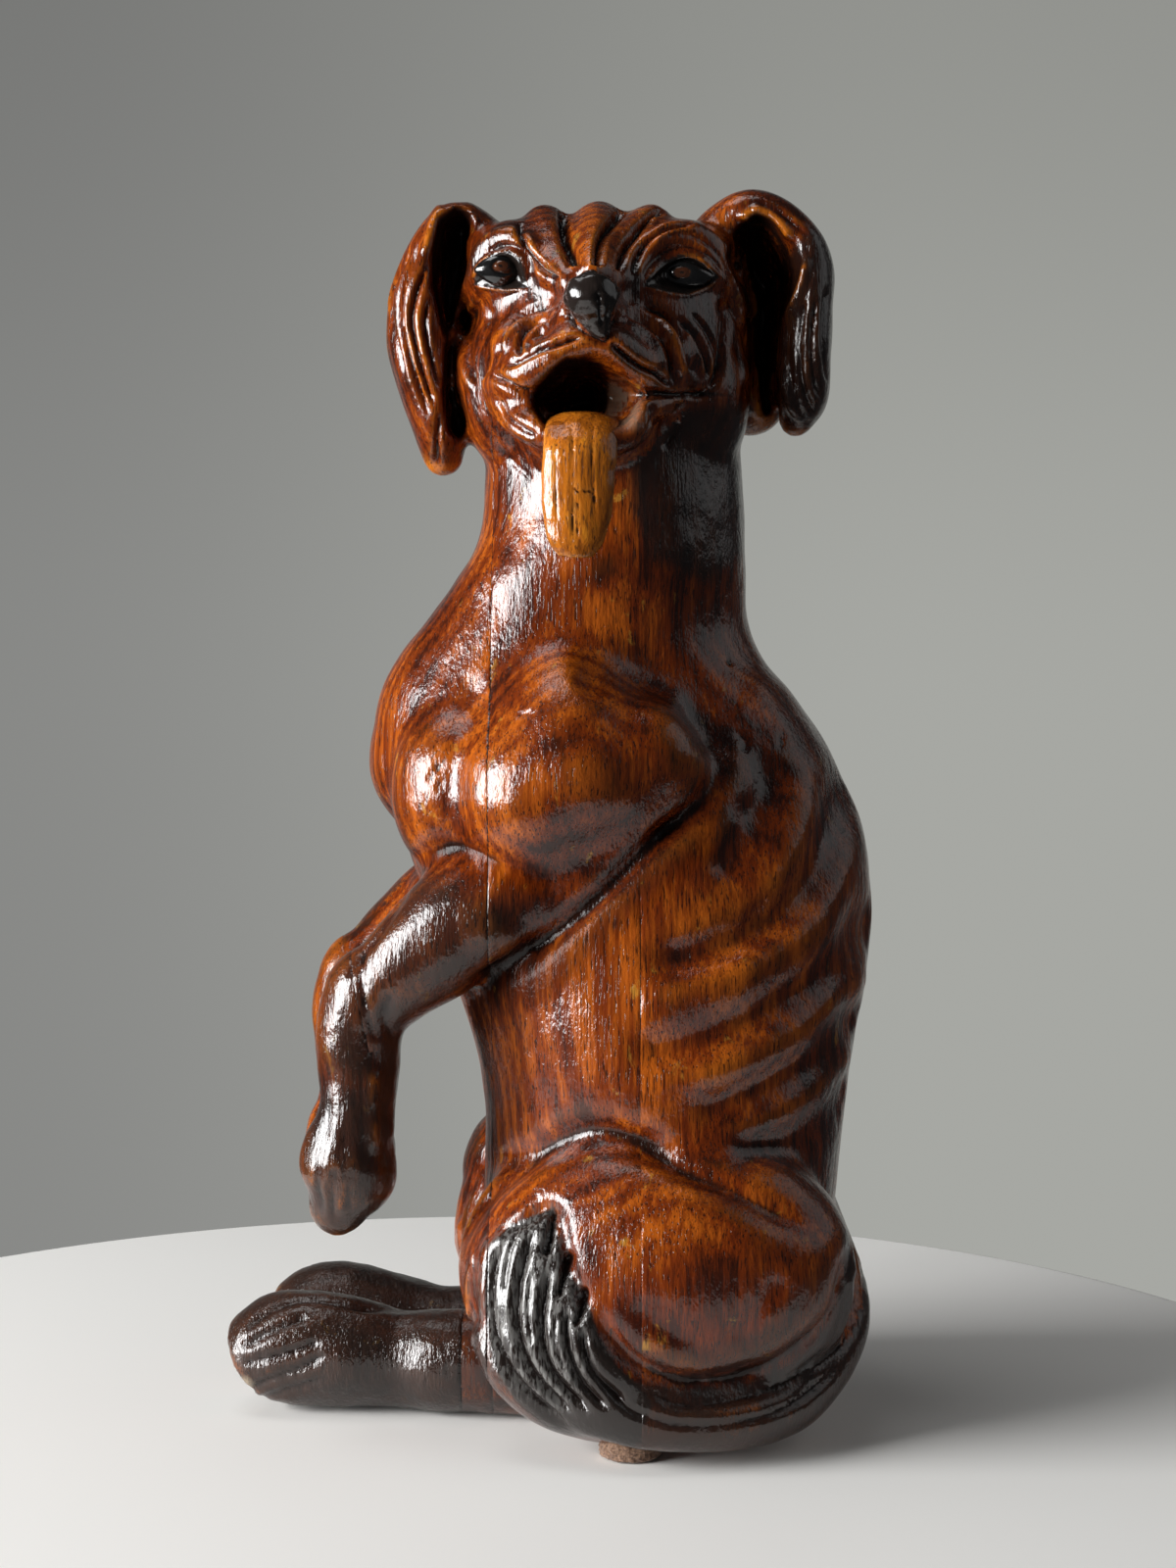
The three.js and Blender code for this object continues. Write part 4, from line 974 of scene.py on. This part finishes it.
def sawCuts():   # mark, a point on the cut, its normal, and which faces the saw reaches
    ankle, allPlank, allForearm = feet["ankle"], seams["allPlank"], seams["allForearm"]
    reach = seams["sawReach"]
    cuts = [(1, (0, seams["front"], 0), (0, 1, 0), None), (2, (0, seams["rear"], 0), (0, 1, 0), None),
            (3, (0, 0, allPlank), (0, 0, 1),
             lambda p: abs(p.z - allPlank) < reach["along"] and p.y < ankle + reach["over"]),
            (3, (0, ankle, 0), (0, 1, 0), lambda p: p.z < allPlank and abs(p.y - ankle) < reach["ankle"])]
    for mark, side in ((4, 1), (5, -1)):
        at, away = wristOf(side)
        cuts.append((mark, (0, 0, allForearm), (0, 0, 1), lambda p, s=side, at=at, away=away: (
            onArm(p, s) and abs(p.z - allForearm) < reach["along"] and (p - at).dot(away) < reach["over"])))
        cuts.append((mark, at, away, lambda p, s=side: onArm(p, s) and p.z > allForearm))
    return cuts


def cutOut(bm, number, name):   # one piece of the sawn skin, closed where the saw went through
    part = bm.copy()
    belongs, rims = part.faces.layers.int["belongs"], part.edges.layers.int["rim"]
    bmesh.ops.delete(part, geom=[f for f in part.faces if f[belongs] != number], context="FACES")
    bare = [e for e in part.edges if e.is_boundary]
    for mark in {e[rims] for e in bare}:
        bmesh.ops.triangle_fill(part, use_beauty=True, edges=[e for e in bare if e[rims] == mark])
    print(name, "faces", len(part.faces), "open edges left", sum(e.is_boundary for e in part.edges))
    bmesh.ops.recalc_face_normals(part, faces=part.faces)
    bmesh.ops.transform(part, matrix=toFrame, verts=part.verts)
    return meshFrom(part, name)


def sawApart(mesh):
    bm = bmesh.new()
    bm.from_mesh(mesh)
    rims = bm.edges.layers.int.new("rim")
    glued = bm.verts.layers.float.new("seam")
    least, more, often = seams["ripple"]
    for mark, at, normal, near in sawCuts():
        across = Vector(normal)
        spots = [(v, v.normal - across * v.normal.dot(across)) for v in saw(bm, at, normal, mark, rims, near)]
        for v, out in spots:
            shows = seamShows(mark, v.co)
            v[glued] = shows
            v.co -= out * seams["depth"] * shows * (least + more * noise.noise(v.co * often))
    names = list(planks)
    belongs = bm.faces.layers.int.new("belongs")
    for face in bm.faces:
        face[belongs] = names.index(pieceOf(face.calc_center_median()))
    meshes = {name: cutOut(bm, number, name) for number, name in enumerate(names)}
    bm.free()
    return meshes


def place(mesh, name, material, slot):
    piece = bpy.data.objects.new("carved_" + name, mesh)
    bpy.context.collection.objects.link(piece)
    mesh.polygons.foreach_set("use_smooth", [True] * len(mesh.polygons))
    mesh.materials.append(material)
    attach(piece, "root")
    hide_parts(name)
    return piece


# Lacquers, stains with painted shade, and bare wood
def shaderTree(name):
    material = bpy.data.materials.new(name)
    material.use_nodes = True
    tree = material.node_tree
    tree.nodes.clear()
    shader = tree.nodes.new("ShaderNodeBsdfPrincipled")
    tree.links.new(shader.outputs[0], tree.nodes.new("ShaderNodeOutputMaterial").inputs[0])
    return material, tree, shader


def node(tree, kind, inputs=None, **settings):
    made = tree.nodes.new("ShaderNode" + kind)
    for key, value in settings.items():
        setattr(made, key, value)
    for key, value in (inputs or {}).items():
        if isinstance(value, bpy.types.NodeSocket):
            tree.links.new(value, made.inputs[key])
        else:
            made.inputs[key].default_value = value
    return made


def grainSpot(tree, size, shift=(0, 0, 0)):   # object coordinates measured in grains of this size, in mm
    spot = node(tree, "TexCoord").outputs["Object"]
    inputs = {"Vector": spot, "Scale": [1000 / s for s in size], "Location": shift}
    return node(tree, "Mapping", inputs).outputs[0]


def spread(tree, value, low, high, out=(0.0, 1.0)):
    inputs = {"Value": value, "From Min": low, "From Max": high, "To Min": out[0], "To Max": out[1]}
    return node(tree, "MapRange", inputs, interpolation_type="SMOOTHSTEP").outputs[0]


def noisy(tree, size, shift=(0, 0, 0), detail=2.0, rough=0.5, warp=0.0):
    inputs = {"Vector": grainSpot(tree, size, shift), "Scale": 1.0, "Detail": detail, "Roughness": rough,
              "Distortion": warp}
    return node(tree, "TexNoise", inputs).outputs[0]


def worked(tree, operation, a, b, c=0.5):   # c is only for MULTIPLY_ADD
    return node(tree, "Math", {0: a, 1: b, 2: c}, operation=operation).outputs[0]


def times(tree, a, b):
    return worked(tree, "MULTIPLY", a, b)


def plus(tree, a, b):
    return worked(tree, "ADD", a, b)


def tinted(tree, share, a, b):
    return node(tree, "Mix", {0: share, 6: a, 7: b}, data_type="RGBA").outputs[2]


def bumped(tree, shader, height, strength, deep):   # deep in metres
    bump = node(tree, "Bump", {"Height": height, "Strength": strength, "Distance": deep}).outputs[0]
    tree.links.new(bump, shader.inputs["Normal"])
    return bump


def valueOf(tree, name):
    return node(tree, "Attribute", attribute_name=name).outputs["Fac"]


lacquer = {
    "shadeDark": (0.026, 0.0042, 0.0014, 1),
    "shadeMid": (0.124, 0.0185, 0.0016, 1),
    "shadeLight": (0.34, 0.074, 0.005, 1),
    "worn": (0.45, 0.122, 0.008, 1),
    "gold": (0.50, 0.26, 0.035, 1),
    # pale of lacquer rubbed through, also used as painted light in the mouth
    "rubbedThroughAndLit": (0.30, 0.235, 0.165, 1),
    # grey of worn brush fibres, and painted sheen on them
    "greyAndSheen": (0.125, 0.12, 0.114, 1),
    "pore": (0.014, 0.004, 0.002, 1),
    # near-black of grime, and of painted shade in the deep hollows
    "grimeAndShade": (0.008, 0.004, 0.003, 1),
    "blackStainAndShade": (0.013, 0.009, 0.0075, 1),
    "ringWidth": 3.4,           # mm
    "roughness": (0.35, 0.6),
    "coat": 1.0,
    "coatRoughness": 0.165,
    "coatIor": 1.6,
    "bump": 1.0,
}
planks = {   # where in the tree each plank was cut, so that no two have the same figure
    "front_plank": (3.0, 0.0, 1.0), "middle_plank": (11.0, 4.0, 7.0), "rear_plank": (23.0, 9.0, 2.0),
    "left_forearm": (31.0, 2.0, 5.0), "right_forearm": (37.0, 6.0, 3.0),
    "left_hind_foot": (43.0, 1.0, 9.0), "right_hind_foot": (51.0, 8.0, 4.0),
}


grains = {   # size in mm across and along the wood, then the noise's detail, roughness and warp
    "clouds": ((16, 16, 34), 3.0, 0.6, 0.6),
    "streaks": ((0.9, 0.9, 30), 3.0, 0.6),
    "pores": ((0.34, 0.34, 4.6), 1.0, 0.5),
    "sheen": ((5, 5, 9), 3.0, 0.6),
    "patches": ((7, 7, 12), 4.0, 0.65),
    "flecks": ((7, 7, 11), 5.0, 0.7, 0.4),
    "hairs": ((0.8, 0.8, 4.0), 3.0, 0.6, 0.3),
    "brushed": ((1.9, 1.9, 3.6), 3.0, 0.6, 0.3),
    "fineBrushed": ((0.75, 0.75, 1.5), 2.0, 0.55, 0.3),
    "fibres": ((0.5, 0.5, 4.6), 2.0, 0.5),
    "fibreFields": ((10, 10, 17), 2.0),
}
rings = {
    "size": (1 / 0.314, 9, 30),   # of the wave that makes them, in ring widths
    "wave": {"Scale": 1.0, "Distortion": 5.0, "Detail": 3.0, "Detail Scale": 1.2, "Detail Roughness": 0.55},
}
mixing = {   # how much each layer does; a pair is the range that it is spread over
    "rings": 0.24,
    "clouds": (0.3, 0.7, 0.46),
    "streaks": (0.3, 0.7, 0.30),
    "glow": (0.05, 0.26),        # all a little darker, and lighter where the lacquer is thin
    "mid": (0.15, 0.55),
    "light": (0.5, 0.95),
    "pores": (0.59, 0.66),
    "sheen": (0.35, 0.7),
    "patches": (0.35, 0.65),
    "wornAndLitPatches": (0.7, 0.5),   # in patches, and everywhere
    "flecks": (0.62, 0.72),
    "fleckShare": 0.5,
    "poreShare": {"aged": 0.8, "bare": 0.75},
    "stainRubbed": (0.25, 0.8, 0.45),
    "stainAndShade": (0.02, 0.98),
    "hairs": (0.42, 0.60),
    "grimePatches": 0.25,
    "grimeAndShade": (0.15, 1.0, (0.0, 0.93)),
    "rubbed": 0.75,
    "dustAndShade": 0.95,
    "seamPatches": 0.2,
    "seam": (0.62, 0.9, (0.0, 0.92)),
    "roughHollows": 0.3,
    "fibres": (0.40, 0.58, (0.08, 0.27)),
    "fineBrushed": 0.34,
    "brushed": 0.56,
    "poreDepth": 0.03,
    "polished": (1.0, 0.45),
    "bump": (0.8, 0.0005),
    "coatHollows": (0.3, 0.9, 0.6),
    "coatLeft": 0.12,
}


def grain(tree, name, shift):
    size, *how = grains[name]
    return noisy(tree, size, shift, *how)


def woodFigure(tree, look, shift, point):   # the light and dark of the growth rings and the lacquer on them
    size = [look["ringWidth"] * s for s in rings["size"]]
    spot = grainSpot(tree, size, shift)
    waves = node(tree, "TexWave", dict(rings["wave"], Vector=spot), bands_direction="X")
    clouds, streaks = (times(tree, spread(tree, grain(tree, name, shift), *mixing[name][:2]), mixing[name][2])
                       for name in ("clouds", "streaks"))
    figure = plus(tree, times(tree, waves.outputs["Fac"], mixing["rings"]), plus(tree, clouds, streaks))
    if point:
        darker, glow = mixing["glow"]
        figure = plus(tree, worked(tree, "SUBTRACT", figure, darker), times(tree, point["glow"], glow))
    colour = tinted(tree, spread(tree, figure, *mixing["mid"]), look["shadeDark"], look["shadeMid"])
    return tinted(tree, spread(tree, figure, *mixing["light"]), colour, look["shadeLight"])


def aged(tree, look, shift, colour, pores, point):   # wear, stains with painted shade, grime, then dust and painted shade over the figure, with painted sheen on the brush and painted light in the mouth
    patchy = spread(tree, grain(tree, "patches", shift), *mixing["patches"])
    flecks = spread(tree, grain(tree, "flecks", shift), *mixing["flecks"])
    hairs = spread(tree, grain(tree, "hairs", shift), *mixing["hairs"])
    low, high, share = mixing["stainRubbed"]
    rubbed = times(tree, spread(tree, times(tree, point["worn"], patchy), low, high), share)
    crests = worked(tree, "SUBTRACT", 1.0, point["cavity"])
    layers = [
        ("worn", times(tree, point["worn"], worked(tree, "MULTIPLY_ADD", patchy, *mixing["wornAndLitPatches"]))),
        ("gold", times(tree, flecks, mixing["fleckShare"])),
        ("pore", times(tree, pores, mixing["poreShare"]["aged"])),
        # black of the stains, and painted shade where the stain value holds it
        ("blackStainAndShade", spread(tree, worked(tree, "SUBTRACT", point["stainAndShade"], rubbed), *mixing["stainAndShade"])),
        # grey on the brush's crests: worn fibres and painted sheen
        ("greyAndSheen", times(tree, times(tree, point["greyedAndSheen"], hairs), crests)),
        ("grimeAndShade", spread(tree, plus(tree, point["cavity"], times(tree, patchy, mixing["grimePatches"])),
                         *mixing["grimeAndShade"])),
        # pale of lacquer rubbed through, and painted light in the mouth
        ("rubbedThroughAndLit", times(tree, point["pale"], mixing["rubbed"])),
        # dust and painted shade in the deep hollows of the mouth and ears
        ("grimeAndShade", times(tree, point["hollow"], mixing["dustAndShade"])),
        ("grimeAndShade", spread(tree, plus(tree, point["seam"], times(tree, patchy, mixing["seamPatches"])),
                         *mixing["seam"])),
    ]
    for shade, share in layers:
        colour = tinted(tree, share, colour, look[shade])
    return colour


def woodHeight(tree, look, shift, pores):   # brush marks, fibres and pores
    fields = spread(tree, grain(tree, "fibreFields", shift), *mixing["fibres"])
    fibres = times(tree, grain(tree, "fibres", shift), fields)
    fine = times(tree, grain(tree, "fineBrushed", shift), mixing["fineBrushed"])
    brushed = plus(tree, grain(tree, "brushed", shift), fine)
    pits = times(tree, pores, mixing["poreDepth"] * look["bump"])
    deep = worked(tree, "SUBTRACT", times(tree, fibres, look["bump"]), pits)
    return plus(tree, times(tree, brushed, mixing["brushed"] * look["bump"]), deep)


def carvedWood(name, look, shift, shaped=True):   # shaped wood has the point values that weather() gives
    material, tree, shader = shaderTree(name)
    pores = spread(tree, grain(tree, "pores", shift), *mixing["pores"])
    point = {value: valueOf(tree, value) for value in pointValues} if shaped else {}
    colour = woodFigure(tree, look, shift, point)
    rough = spread(tree, grain(tree, "sheen", shift), *mixing["sheen"], look["roughness"])
    height = woodHeight(tree, look, shift, pores)
    shader.inputs["Coat Weight"].default_value = look["coat"]
    if shaped:
        colour = aged(tree, look, shift, colour, pores, point)
        hollows = worked(tree, "MAXIMUM", point["hollow"], point["cavity"])
        rough = plus(tree, rough, times(tree, hollows, mixing["roughHollows"]))
        height = times(tree, height, spread(tree, point["polish"], 0, 1, mixing["polished"]))
        low, high, share = mixing["coatHollows"]
        grimeAndShade = times(tree, spread(tree, point["cavity"], low, high), share)
        grimed = worked(tree, "MAXIMUM", point["dull"], grimeAndShade)
        coat = spread(tree, grimed, 0, 1, (look["coat"], mixing["coatLeft"]))
        tree.links.new(coat, shader.inputs["Coat Weight"])
    else:
        colour = tinted(tree, times(tree, pores, mixing["poreShare"]["bare"]), colour, look["pore"])
    bump = bumped(tree, shader, height, *mixing["bump"])
    tree.links.new(bump, shader.inputs["Coat Normal"])
    tree.links.new(colour, shader.inputs["Base Color"])
    tree.links.new(rough, shader.inputs["Roughness"])
    shader.inputs["Coat Roughness"].default_value = look["coatRoughness"]
    shader.inputs["Coat IOR"].default_value = look["coatIor"]
    shader.inputs["Specular IOR Level"].default_value = 0.0
    return material


darkFoot = dict(lacquer, shadeDark=(0.014, 0.007, 0.005, 1), shadeMid=(0.045, 0.016, 0.009, 1),
                shadeLight=(0.10, 0.030, 0.012, 1), worn=(0.17, 0.055, 0.02, 1), bump=1.5)
honey = dict(lacquer, shadeDark=(0.20, 0.050, 0.004, 1), shadeMid=(0.46, 0.13, 0.008, 1),
             shadeLight=(0.66, 0.24, 0.016, 1), worn=(0.62, 0.25, 0.04, 1), pore=(0.09, 0.03, 0.01, 1),
             ringWidth=7.0)
bare = dict(lacquer, shadeDark=(0.30, 0.18, 0.09, 1), shadeMid=(0.45, 0.29, 0.15, 1),
            shadeLight=(0.58, 0.40, 0.22, 1), pore=(0.2, 0.11, 0.05, 1), coat=0.0, roughness=(0.55, 0.75))

for name, mesh in sawApart(skin["mesh"]).items():
    look = darkFoot if name.endswith("foot") else lacquer
    place(mesh, name, carvedWood(name.replace("_", " ") + " lacquer", look, planks[name]),
          "dark_foot_wood" if name.endswith("foot") else "lacquered_wood")
print("sawn into planks, forearms and feet")


# Tongue: a lighter strip of wood let into the mouth
tongue = {
    "stations": [(20, -0.6, 217, 7.4, 2.8), (30, -0.9, 217.2, 7.8, 2.8), (37, -1.3, 216, 7.9, 3.0),
                 (41.4, -1.6, 211.4, 7.8, 3.2), (42.2, -2.0, 204.6, 7.6, 3.2), (42, -2.3, 197.4, 7.2, 3.1),
                 (41.4, -2.5, 191.4, 5.9, 2.9), (41, -2.6, 188.2, 3.6, 2.2)],
    "sides": 40,
    "voxel": 0.5,
    "even": (5, 0.5, 0.4),
    "hollow": (0.02, 0.3),
    "crest": (0.02, 0.25),
    "cutFrom": (5.0, 3.0, 8.0),   # where in the tree
    "marks": [([(584, 497), (592, 503), (600, 501), (607, 506)], 0.45, 0.5),
              ([(584, 430), (583, 500), (585, 560)], 0.5, 0.5),
              ([(606, 420), (604, 470), (608, 530)], 0.45, 0.45),
              ([(570, 428), (566, 480), (569, 548)], 0.4, 0.35),
              ([(590, 505), (588, 530), (592, 566)], 0.4, 0.4)],
}


def toPlace(mesh, name):   # from the carver's millimetres to the frame's metres
    bm = bmesh.new()
    bm.from_mesh(mesh)
    bmesh.ops.transform(bm, matrix=toFrame, verts=bm.verts)
    return meshFrom(bm, name)


def makeTongue():
    bm = bmesh.new()
    for mesh in limb(tongue["stations"], across=(0, 1, 0), sides=tongue["sides"], ends=False):
        bm.from_mesh(mesh)
        bpy.data.meshes.remove(mesh)
    bmesh.ops.subdivide_edges(bm, edges=bm.edges, cuts=1, use_grid_fill=True)
    strip = readSkin(voxelled(meshFrom(bm, "tongue"), tongue["voxel"]))
    strip["points"] = relaxed(strip["points"], strip["edges"], *tongue["even"])
    settle(strip)
    for line, half, depth in tongue["marks"]:
        carve(strip, line, half, depth, ends=0.2)
    chiselMarks(strip, *gouges["tongue"])
    settle(strip)
    fine = relief(strip, wear["fineRounds"])
    values = {"cavity": smoothStep(*tongue["hollow"], fine), "worn": smoothStep(*tongue["crest"], -fine)}
    for name in pointValues:
        putValue(strip["mesh"], name, values.get(name, np.zeros(len(fine))))
    wood = carvedWood("honey tongue wood", honey, tongue["cutFrom"])
    place(toPlace(strip["mesh"], "tongue"), "tongue", wood, "tongue_wood")


makeTongue()


# Eyes: polished black almonds with a brown middle
eyes = {
    "left": {"pixel": (695, 281), "half": (3.4, 6.9, 4.1), "tilt": -4, "turn": -12},
    "right": {"pixel": (512, 274), "half": (3.6, 5.9, 4.0), "tilt": 4, "turn": 14},
    "sunk": 0.9,              # into the skin, in mm
    "corners": (0.5, 1.6),    # how the almond narrows towards its corners
    "flatter": 0.35,          # how much less it bulges there
    "iris": 2.0,              # its radius, in mm
    "irisHigh": 1.5,          # the iris is wider than high
    "groove": {"deep": 0.10, "at": 1.15, "thin": 30},   # round the iris
    "pupil": 0.5,             # its radius
    "ragged": ((0.8, 0.8, 0.8), 0.9),
    "irisEdge": (0.5, -0.1),
    "pupilEdge": 0.7,
    "black": (0.006, 0.006, 0.006, 1),
    "brown": (0.075, 0.022, 0.008, 1),
    "ripple": ((1.2, 1.2, 1.2), 0.25, 0.0003),
    "roughness": 0.16,
    "coatRoughness": 0.05,
}


def eyeBall(half):   # an almond with a fine groove round the iris, still of radius 1
    bm = bmesh.new()
    bmesh.ops.create_icosphere(bm, subdivisions=5, radius=1)
    share, power = eyes["corners"]
    groove = eyes["groove"]
    for v in bm.verts:
        v.co.z *= 1 - share * abs(v.co.y) ** power
        v.co.x *= 1 - eyes["flatter"] * v.co.y ** 2
        across, up = v.co.y * half[1] / eyes["iris"], v.co.z * half[2] / eyes["iris"] * eyes["irisHigh"]
        off = math.sqrt(across ** 2 + up ** 2) - groove["at"]
        v.co.x -= groove["deep"] * math.exp(-off ** 2 * groove["thin"]) * (v.co.x > 0)
    return bm


def polishedBlack(name, middle):   # black lacquer with the brown of the iris painted on
    material, tree, shader = shaderTree(name)
    spot = node(tree, "TexCoord").outputs["Object"]
    away = node(tree, "VectorMath", {0: spot, 1: tuple(middle)}, operation="SUBTRACT").outputs[0]
    upAndAcross = (0, 1000, 1000 * eyes["irisHigh"])
    flat = node(tree, "VectorMath", {0: away, 1: upAndAcross}, operation="MULTIPLY").outputs[0]
    far = node(tree, "VectorMath", {0: flat}, operation="LENGTH").outputs["Value"]
    size, amount = eyes["ragged"]
    ragged = plus(tree, far, times(tree, noisy(tree, size), amount))
    outer, inner = eyes["irisEdge"]
    brown = times(tree, spread(tree, ragged, eyes["iris"] + outer, eyes["iris"] + inner),
                  spread(tree, ragged, eyes["pupil"], eyes["pupil"] + eyes["pupilEdge"]))
    tree.links.new(tinted(tree, brown, eyes["black"], eyes["brown"]), shader.inputs["Base Color"])
    size, strength, deep = eyes["ripple"]
    bumped(tree, shader, noisy(tree, size, detail=3.0), strength, deep)
    shader.inputs["Roughness"].default_value = eyes["roughness"]
    shader.inputs["Coat Weight"].default_value = 1.0
    shader.inputs["Coat Roughness"].default_value = eyes["coatRoughness"]
    return material


def makeEye(side):
    eye = eyes[side]
    bm = eyeBall(eye["half"])
    at = surfaceAt(skin, eye["pixel"]) - Vector((eyes["sunk"], 0, 0))
    turn = (Matrix.Rotation(math.radians(eye["turn"]), 4, "Z")
            @ Matrix.Rotation(math.radians(eye["tilt"]), 4, "X"))
    seat = toFrame @ Matrix.Translation(at) @ turn @ Matrix.Diagonal((*eye["half"], 1))
    bmesh.ops.transform(bm, matrix=seat, verts=bm.verts)
    black = polishedBlack(side + " eye, polished black", toFrame @ at)
    place(meshFrom(bm, side + "Eye"), side + "_eye", black, "eye_horn")


makeEye("left")
makeEye("right")


# Rump pads: pressed brown fibre under the haunches
pads = {
    "left": (36.0, 9.0),
    "right": (-36.0, 9.0),
    "radius": 7.0,
    "thick": 4.4,
    "edge": 0.35,                       # left for the lumps
    "sides": 72,
    "rounding": 0.7,
    "voxel": 0.36,
    "lumps": (0.9, 0.6, 2.1, 4),        # how close, then the fractal's fall, step and octaves
    "lumpDepth": (0.30, 0.08),          # in mm, and how much of it goes inwards
    "upShare": 0.5,
    "clear": (0.01, 0.02),              # below and above
    "flecks": ((0.5, 0.5, 0.5), 4.0, 0.7),
    "fleckRange": (0.35, 0.65),
    "dark": (0.075, 0.035, 0.02, 1),
    "light": (0.26, 0.15, 0.09, 1),
    "bump": (0.8, 0.0004),
    "roughness": 0.9,
    "sheen": 0.2,
}


def padBlank(x, y):
    bm = bmesh.new()
    radius = pads["radius"] - pads["edge"]
    made = bmesh.ops.create_circle(bm, cap_ends=True, radius=radius, segments=pads["sides"])
    face = made["verts"][0].link_faces[0]
    grown = bmesh.ops.extrude_face_region(bm, geom=[face])["geom"]
    top = [v for v in grown if isinstance(v, bmesh.types.BMVert)]
    bmesh.ops.translate(bm, vec=(0, 0, pads["thick"]), verts=top)
    bmesh.ops.recalc_face_normals(bm, faces=bm.faces)
    rim = [e for e in bm.edges if abs(e.calc_face_angle(0)) > 1]
    bmesh.ops.bevel(bm, geom=rim, offset=pads["rounding"], segments=3, affect="EDGES", profile=0.5,
                    material=-1)
    bm.transform(Matrix.Translation((x, y, 0)))
    return meshFrom(bm, "pad")


def pressedFibre(name, x):
    material, tree, shader = shaderTree(name)
    size, *how = pads["flecks"]
    flecks = noisy(tree, size, (x, 0, 0), *how)
    colour = tinted(tree, spread(tree, flecks, *pads["fleckRange"]), pads["dark"], pads["light"])
    tree.links.new(colour, shader.inputs["Base Color"])
    bumped(tree, shader, flecks, *pads["bump"])
    shader.inputs["Roughness"].default_value = pads["roughness"]
    shader.inputs["Sheen Weight"].default_value = pads["sheen"]
    return material


def makePad(side):
    x, y = pads[side]
    felt = readSkin(voxelled(padBlank(x, y), pads["voxel"]))
    close, *fractal = pads["lumps"]
    lumps = np.array([noise.fractal(Vector(p) * close, *fractal) for p in felt["points"]])
    deep, inwards = pads["lumpDepth"]
    out = (deep * lumps - inwards)[:, None]
    felt["points"] = felt["points"] + felt["normals"] * out * (1, 1, pads["upShare"])
    below, above = pads["clear"]
    felt["points"][:, 2] = felt["points"][:, 2].clip(below, pads["thick"] - above)
    settle(felt)
    fibre = pressedFibre(side + " pad, pressed fibre", x)
    pad = place(toPlace(felt["mesh"], side + "Pad"), side + "_rump_pad", fibre, "pad_felt")


makePad("left")
makePad("right")


# Dowels: the turned pegs inside the glued joints stay as they are and get bare wood
dowelWood = carvedWood("bare dowel wood", bare, (1.0, 2.0, 3.0), shaped=False)
for name in ("left_forearm_dowel", "right_forearm_dowel", "left_foot_dowel", "right_foot_dowel"):
    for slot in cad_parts[name].material_slots:
        slot.material = dowelWood
print("tongue, eyes, pads and dowels done")


# Table, light and the room's tone
studio = {
    "table": {"middle": (-0.010, -0.019), "radius": 0.213, "thick": 0.03, "gap": 0.0002, "rounding": 0.006,
              "colour": (0.88, 0.872, 0.845, 1), "roughness": 0.6},
    "room": {"dim": (0.040, 0.041, 0.043, 1), "wallLeft": (0.245, 0.247, 0.239, 1),
             "wallRight": (0.385, 0.390, 0.366, 1), "leftToRight": (-0.30, 0.16),
             "wallFrom": (-0.75, -0.90), "upward": (0.02, 0.38, (1.0, 0.74))},
    "lamps": {   # place in metres, size, power in watts
        "window": ((0.42, -1.06, 0.31), (0.74, 0.76), 36.5),
        "rightWall": ((0.10, 1.15, 0.82), (1.3, 1.0), 1.8),
        "ceiling": ((0.1, -0.4, 1.5), (0.7, 0.7), 4.0),
    },
    "aim": (0, 0, 0.14),
}


def makeTable():
    top = studio["table"]
    bm = bmesh.new()
    bmesh.ops.create_circle(bm, cap_ends=True, radius=top["radius"], segments=128)
    bmesh.ops.translate(bm, vec=(*top["middle"], -top["gap"]), verts=bm.verts)
    rim = list(bm.edges)
    made = bmesh.ops.extrude_edge_only(bm, edges=rim)["geom"]
    lower = [v for v in made if isinstance(v, bmesh.types.BMVert)]
    bmesh.ops.translate(bm, vec=(0, 0, -top["thick"]), verts=lower)
    bmesh.ops.bevel(bm, geom=rim, offset=top["rounding"], segments=4, affect="EDGES", profile=0.5,
                    material=-1)
    bmesh.ops.recalc_face_normals(bm, faces=bm.faces)
    table = bpy.data.objects.new("table", meshFrom(bm, "table"))
    bpy.context.collection.objects.link(table)
    material, tree, shader = shaderTree("pale table")
    shader.inputs["Base Color"].default_value = top["colour"]
    shader.inputs["Roughness"].default_value = top["roughness"]
    table.data.materials.append(material)


def makeLamps():
    for name, (spot, size, power) in studio["lamps"].items():
        data = bpy.data.lights.new(name, "AREA")
        data.shape = "RECTANGLE"
        data.size, data.size_y = size
        data.energy = power
        lamp = bpy.data.objects.new(name, data)
        lamp.location = spot
        lamp.rotation_euler = (Vector(studio["aim"]) - Vector(spot)).to_track_quat("-Z", "Y").to_euler()
        bpy.context.collection.objects.link(lamp)


def makeRoom():   # a grey wall behind the dog, and a dim room on the viewer's side
    room = studio["room"]
    world = bpy.data.worlds.new("room")
    world.use_nodes = True
    tree = world.node_tree
    away = node(tree, "SeparateXYZ", {0: node(tree, "TexCoord").outputs["Generated"]}).outputs
    wall = tinted(tree, spread(tree, away["Y"], *room["leftToRight"]), room["wallLeft"], room["wallRight"])
    tone = tinted(tree, spread(tree, away["X"], *room["wallFrom"]), room["dim"], wall)
    background = tree.nodes["Background"].inputs
    tree.links.new(spread(tree, away["Z"], *room["upward"]), background["Strength"])
    tree.links.new(tone, background["Color"])
    bpy.context.scene.world = world


makeTable()
makeLamps()
makeRoom()
bpy.context.scene.view_settings.view_transform = "Standard"
print("table, lamps and room done")
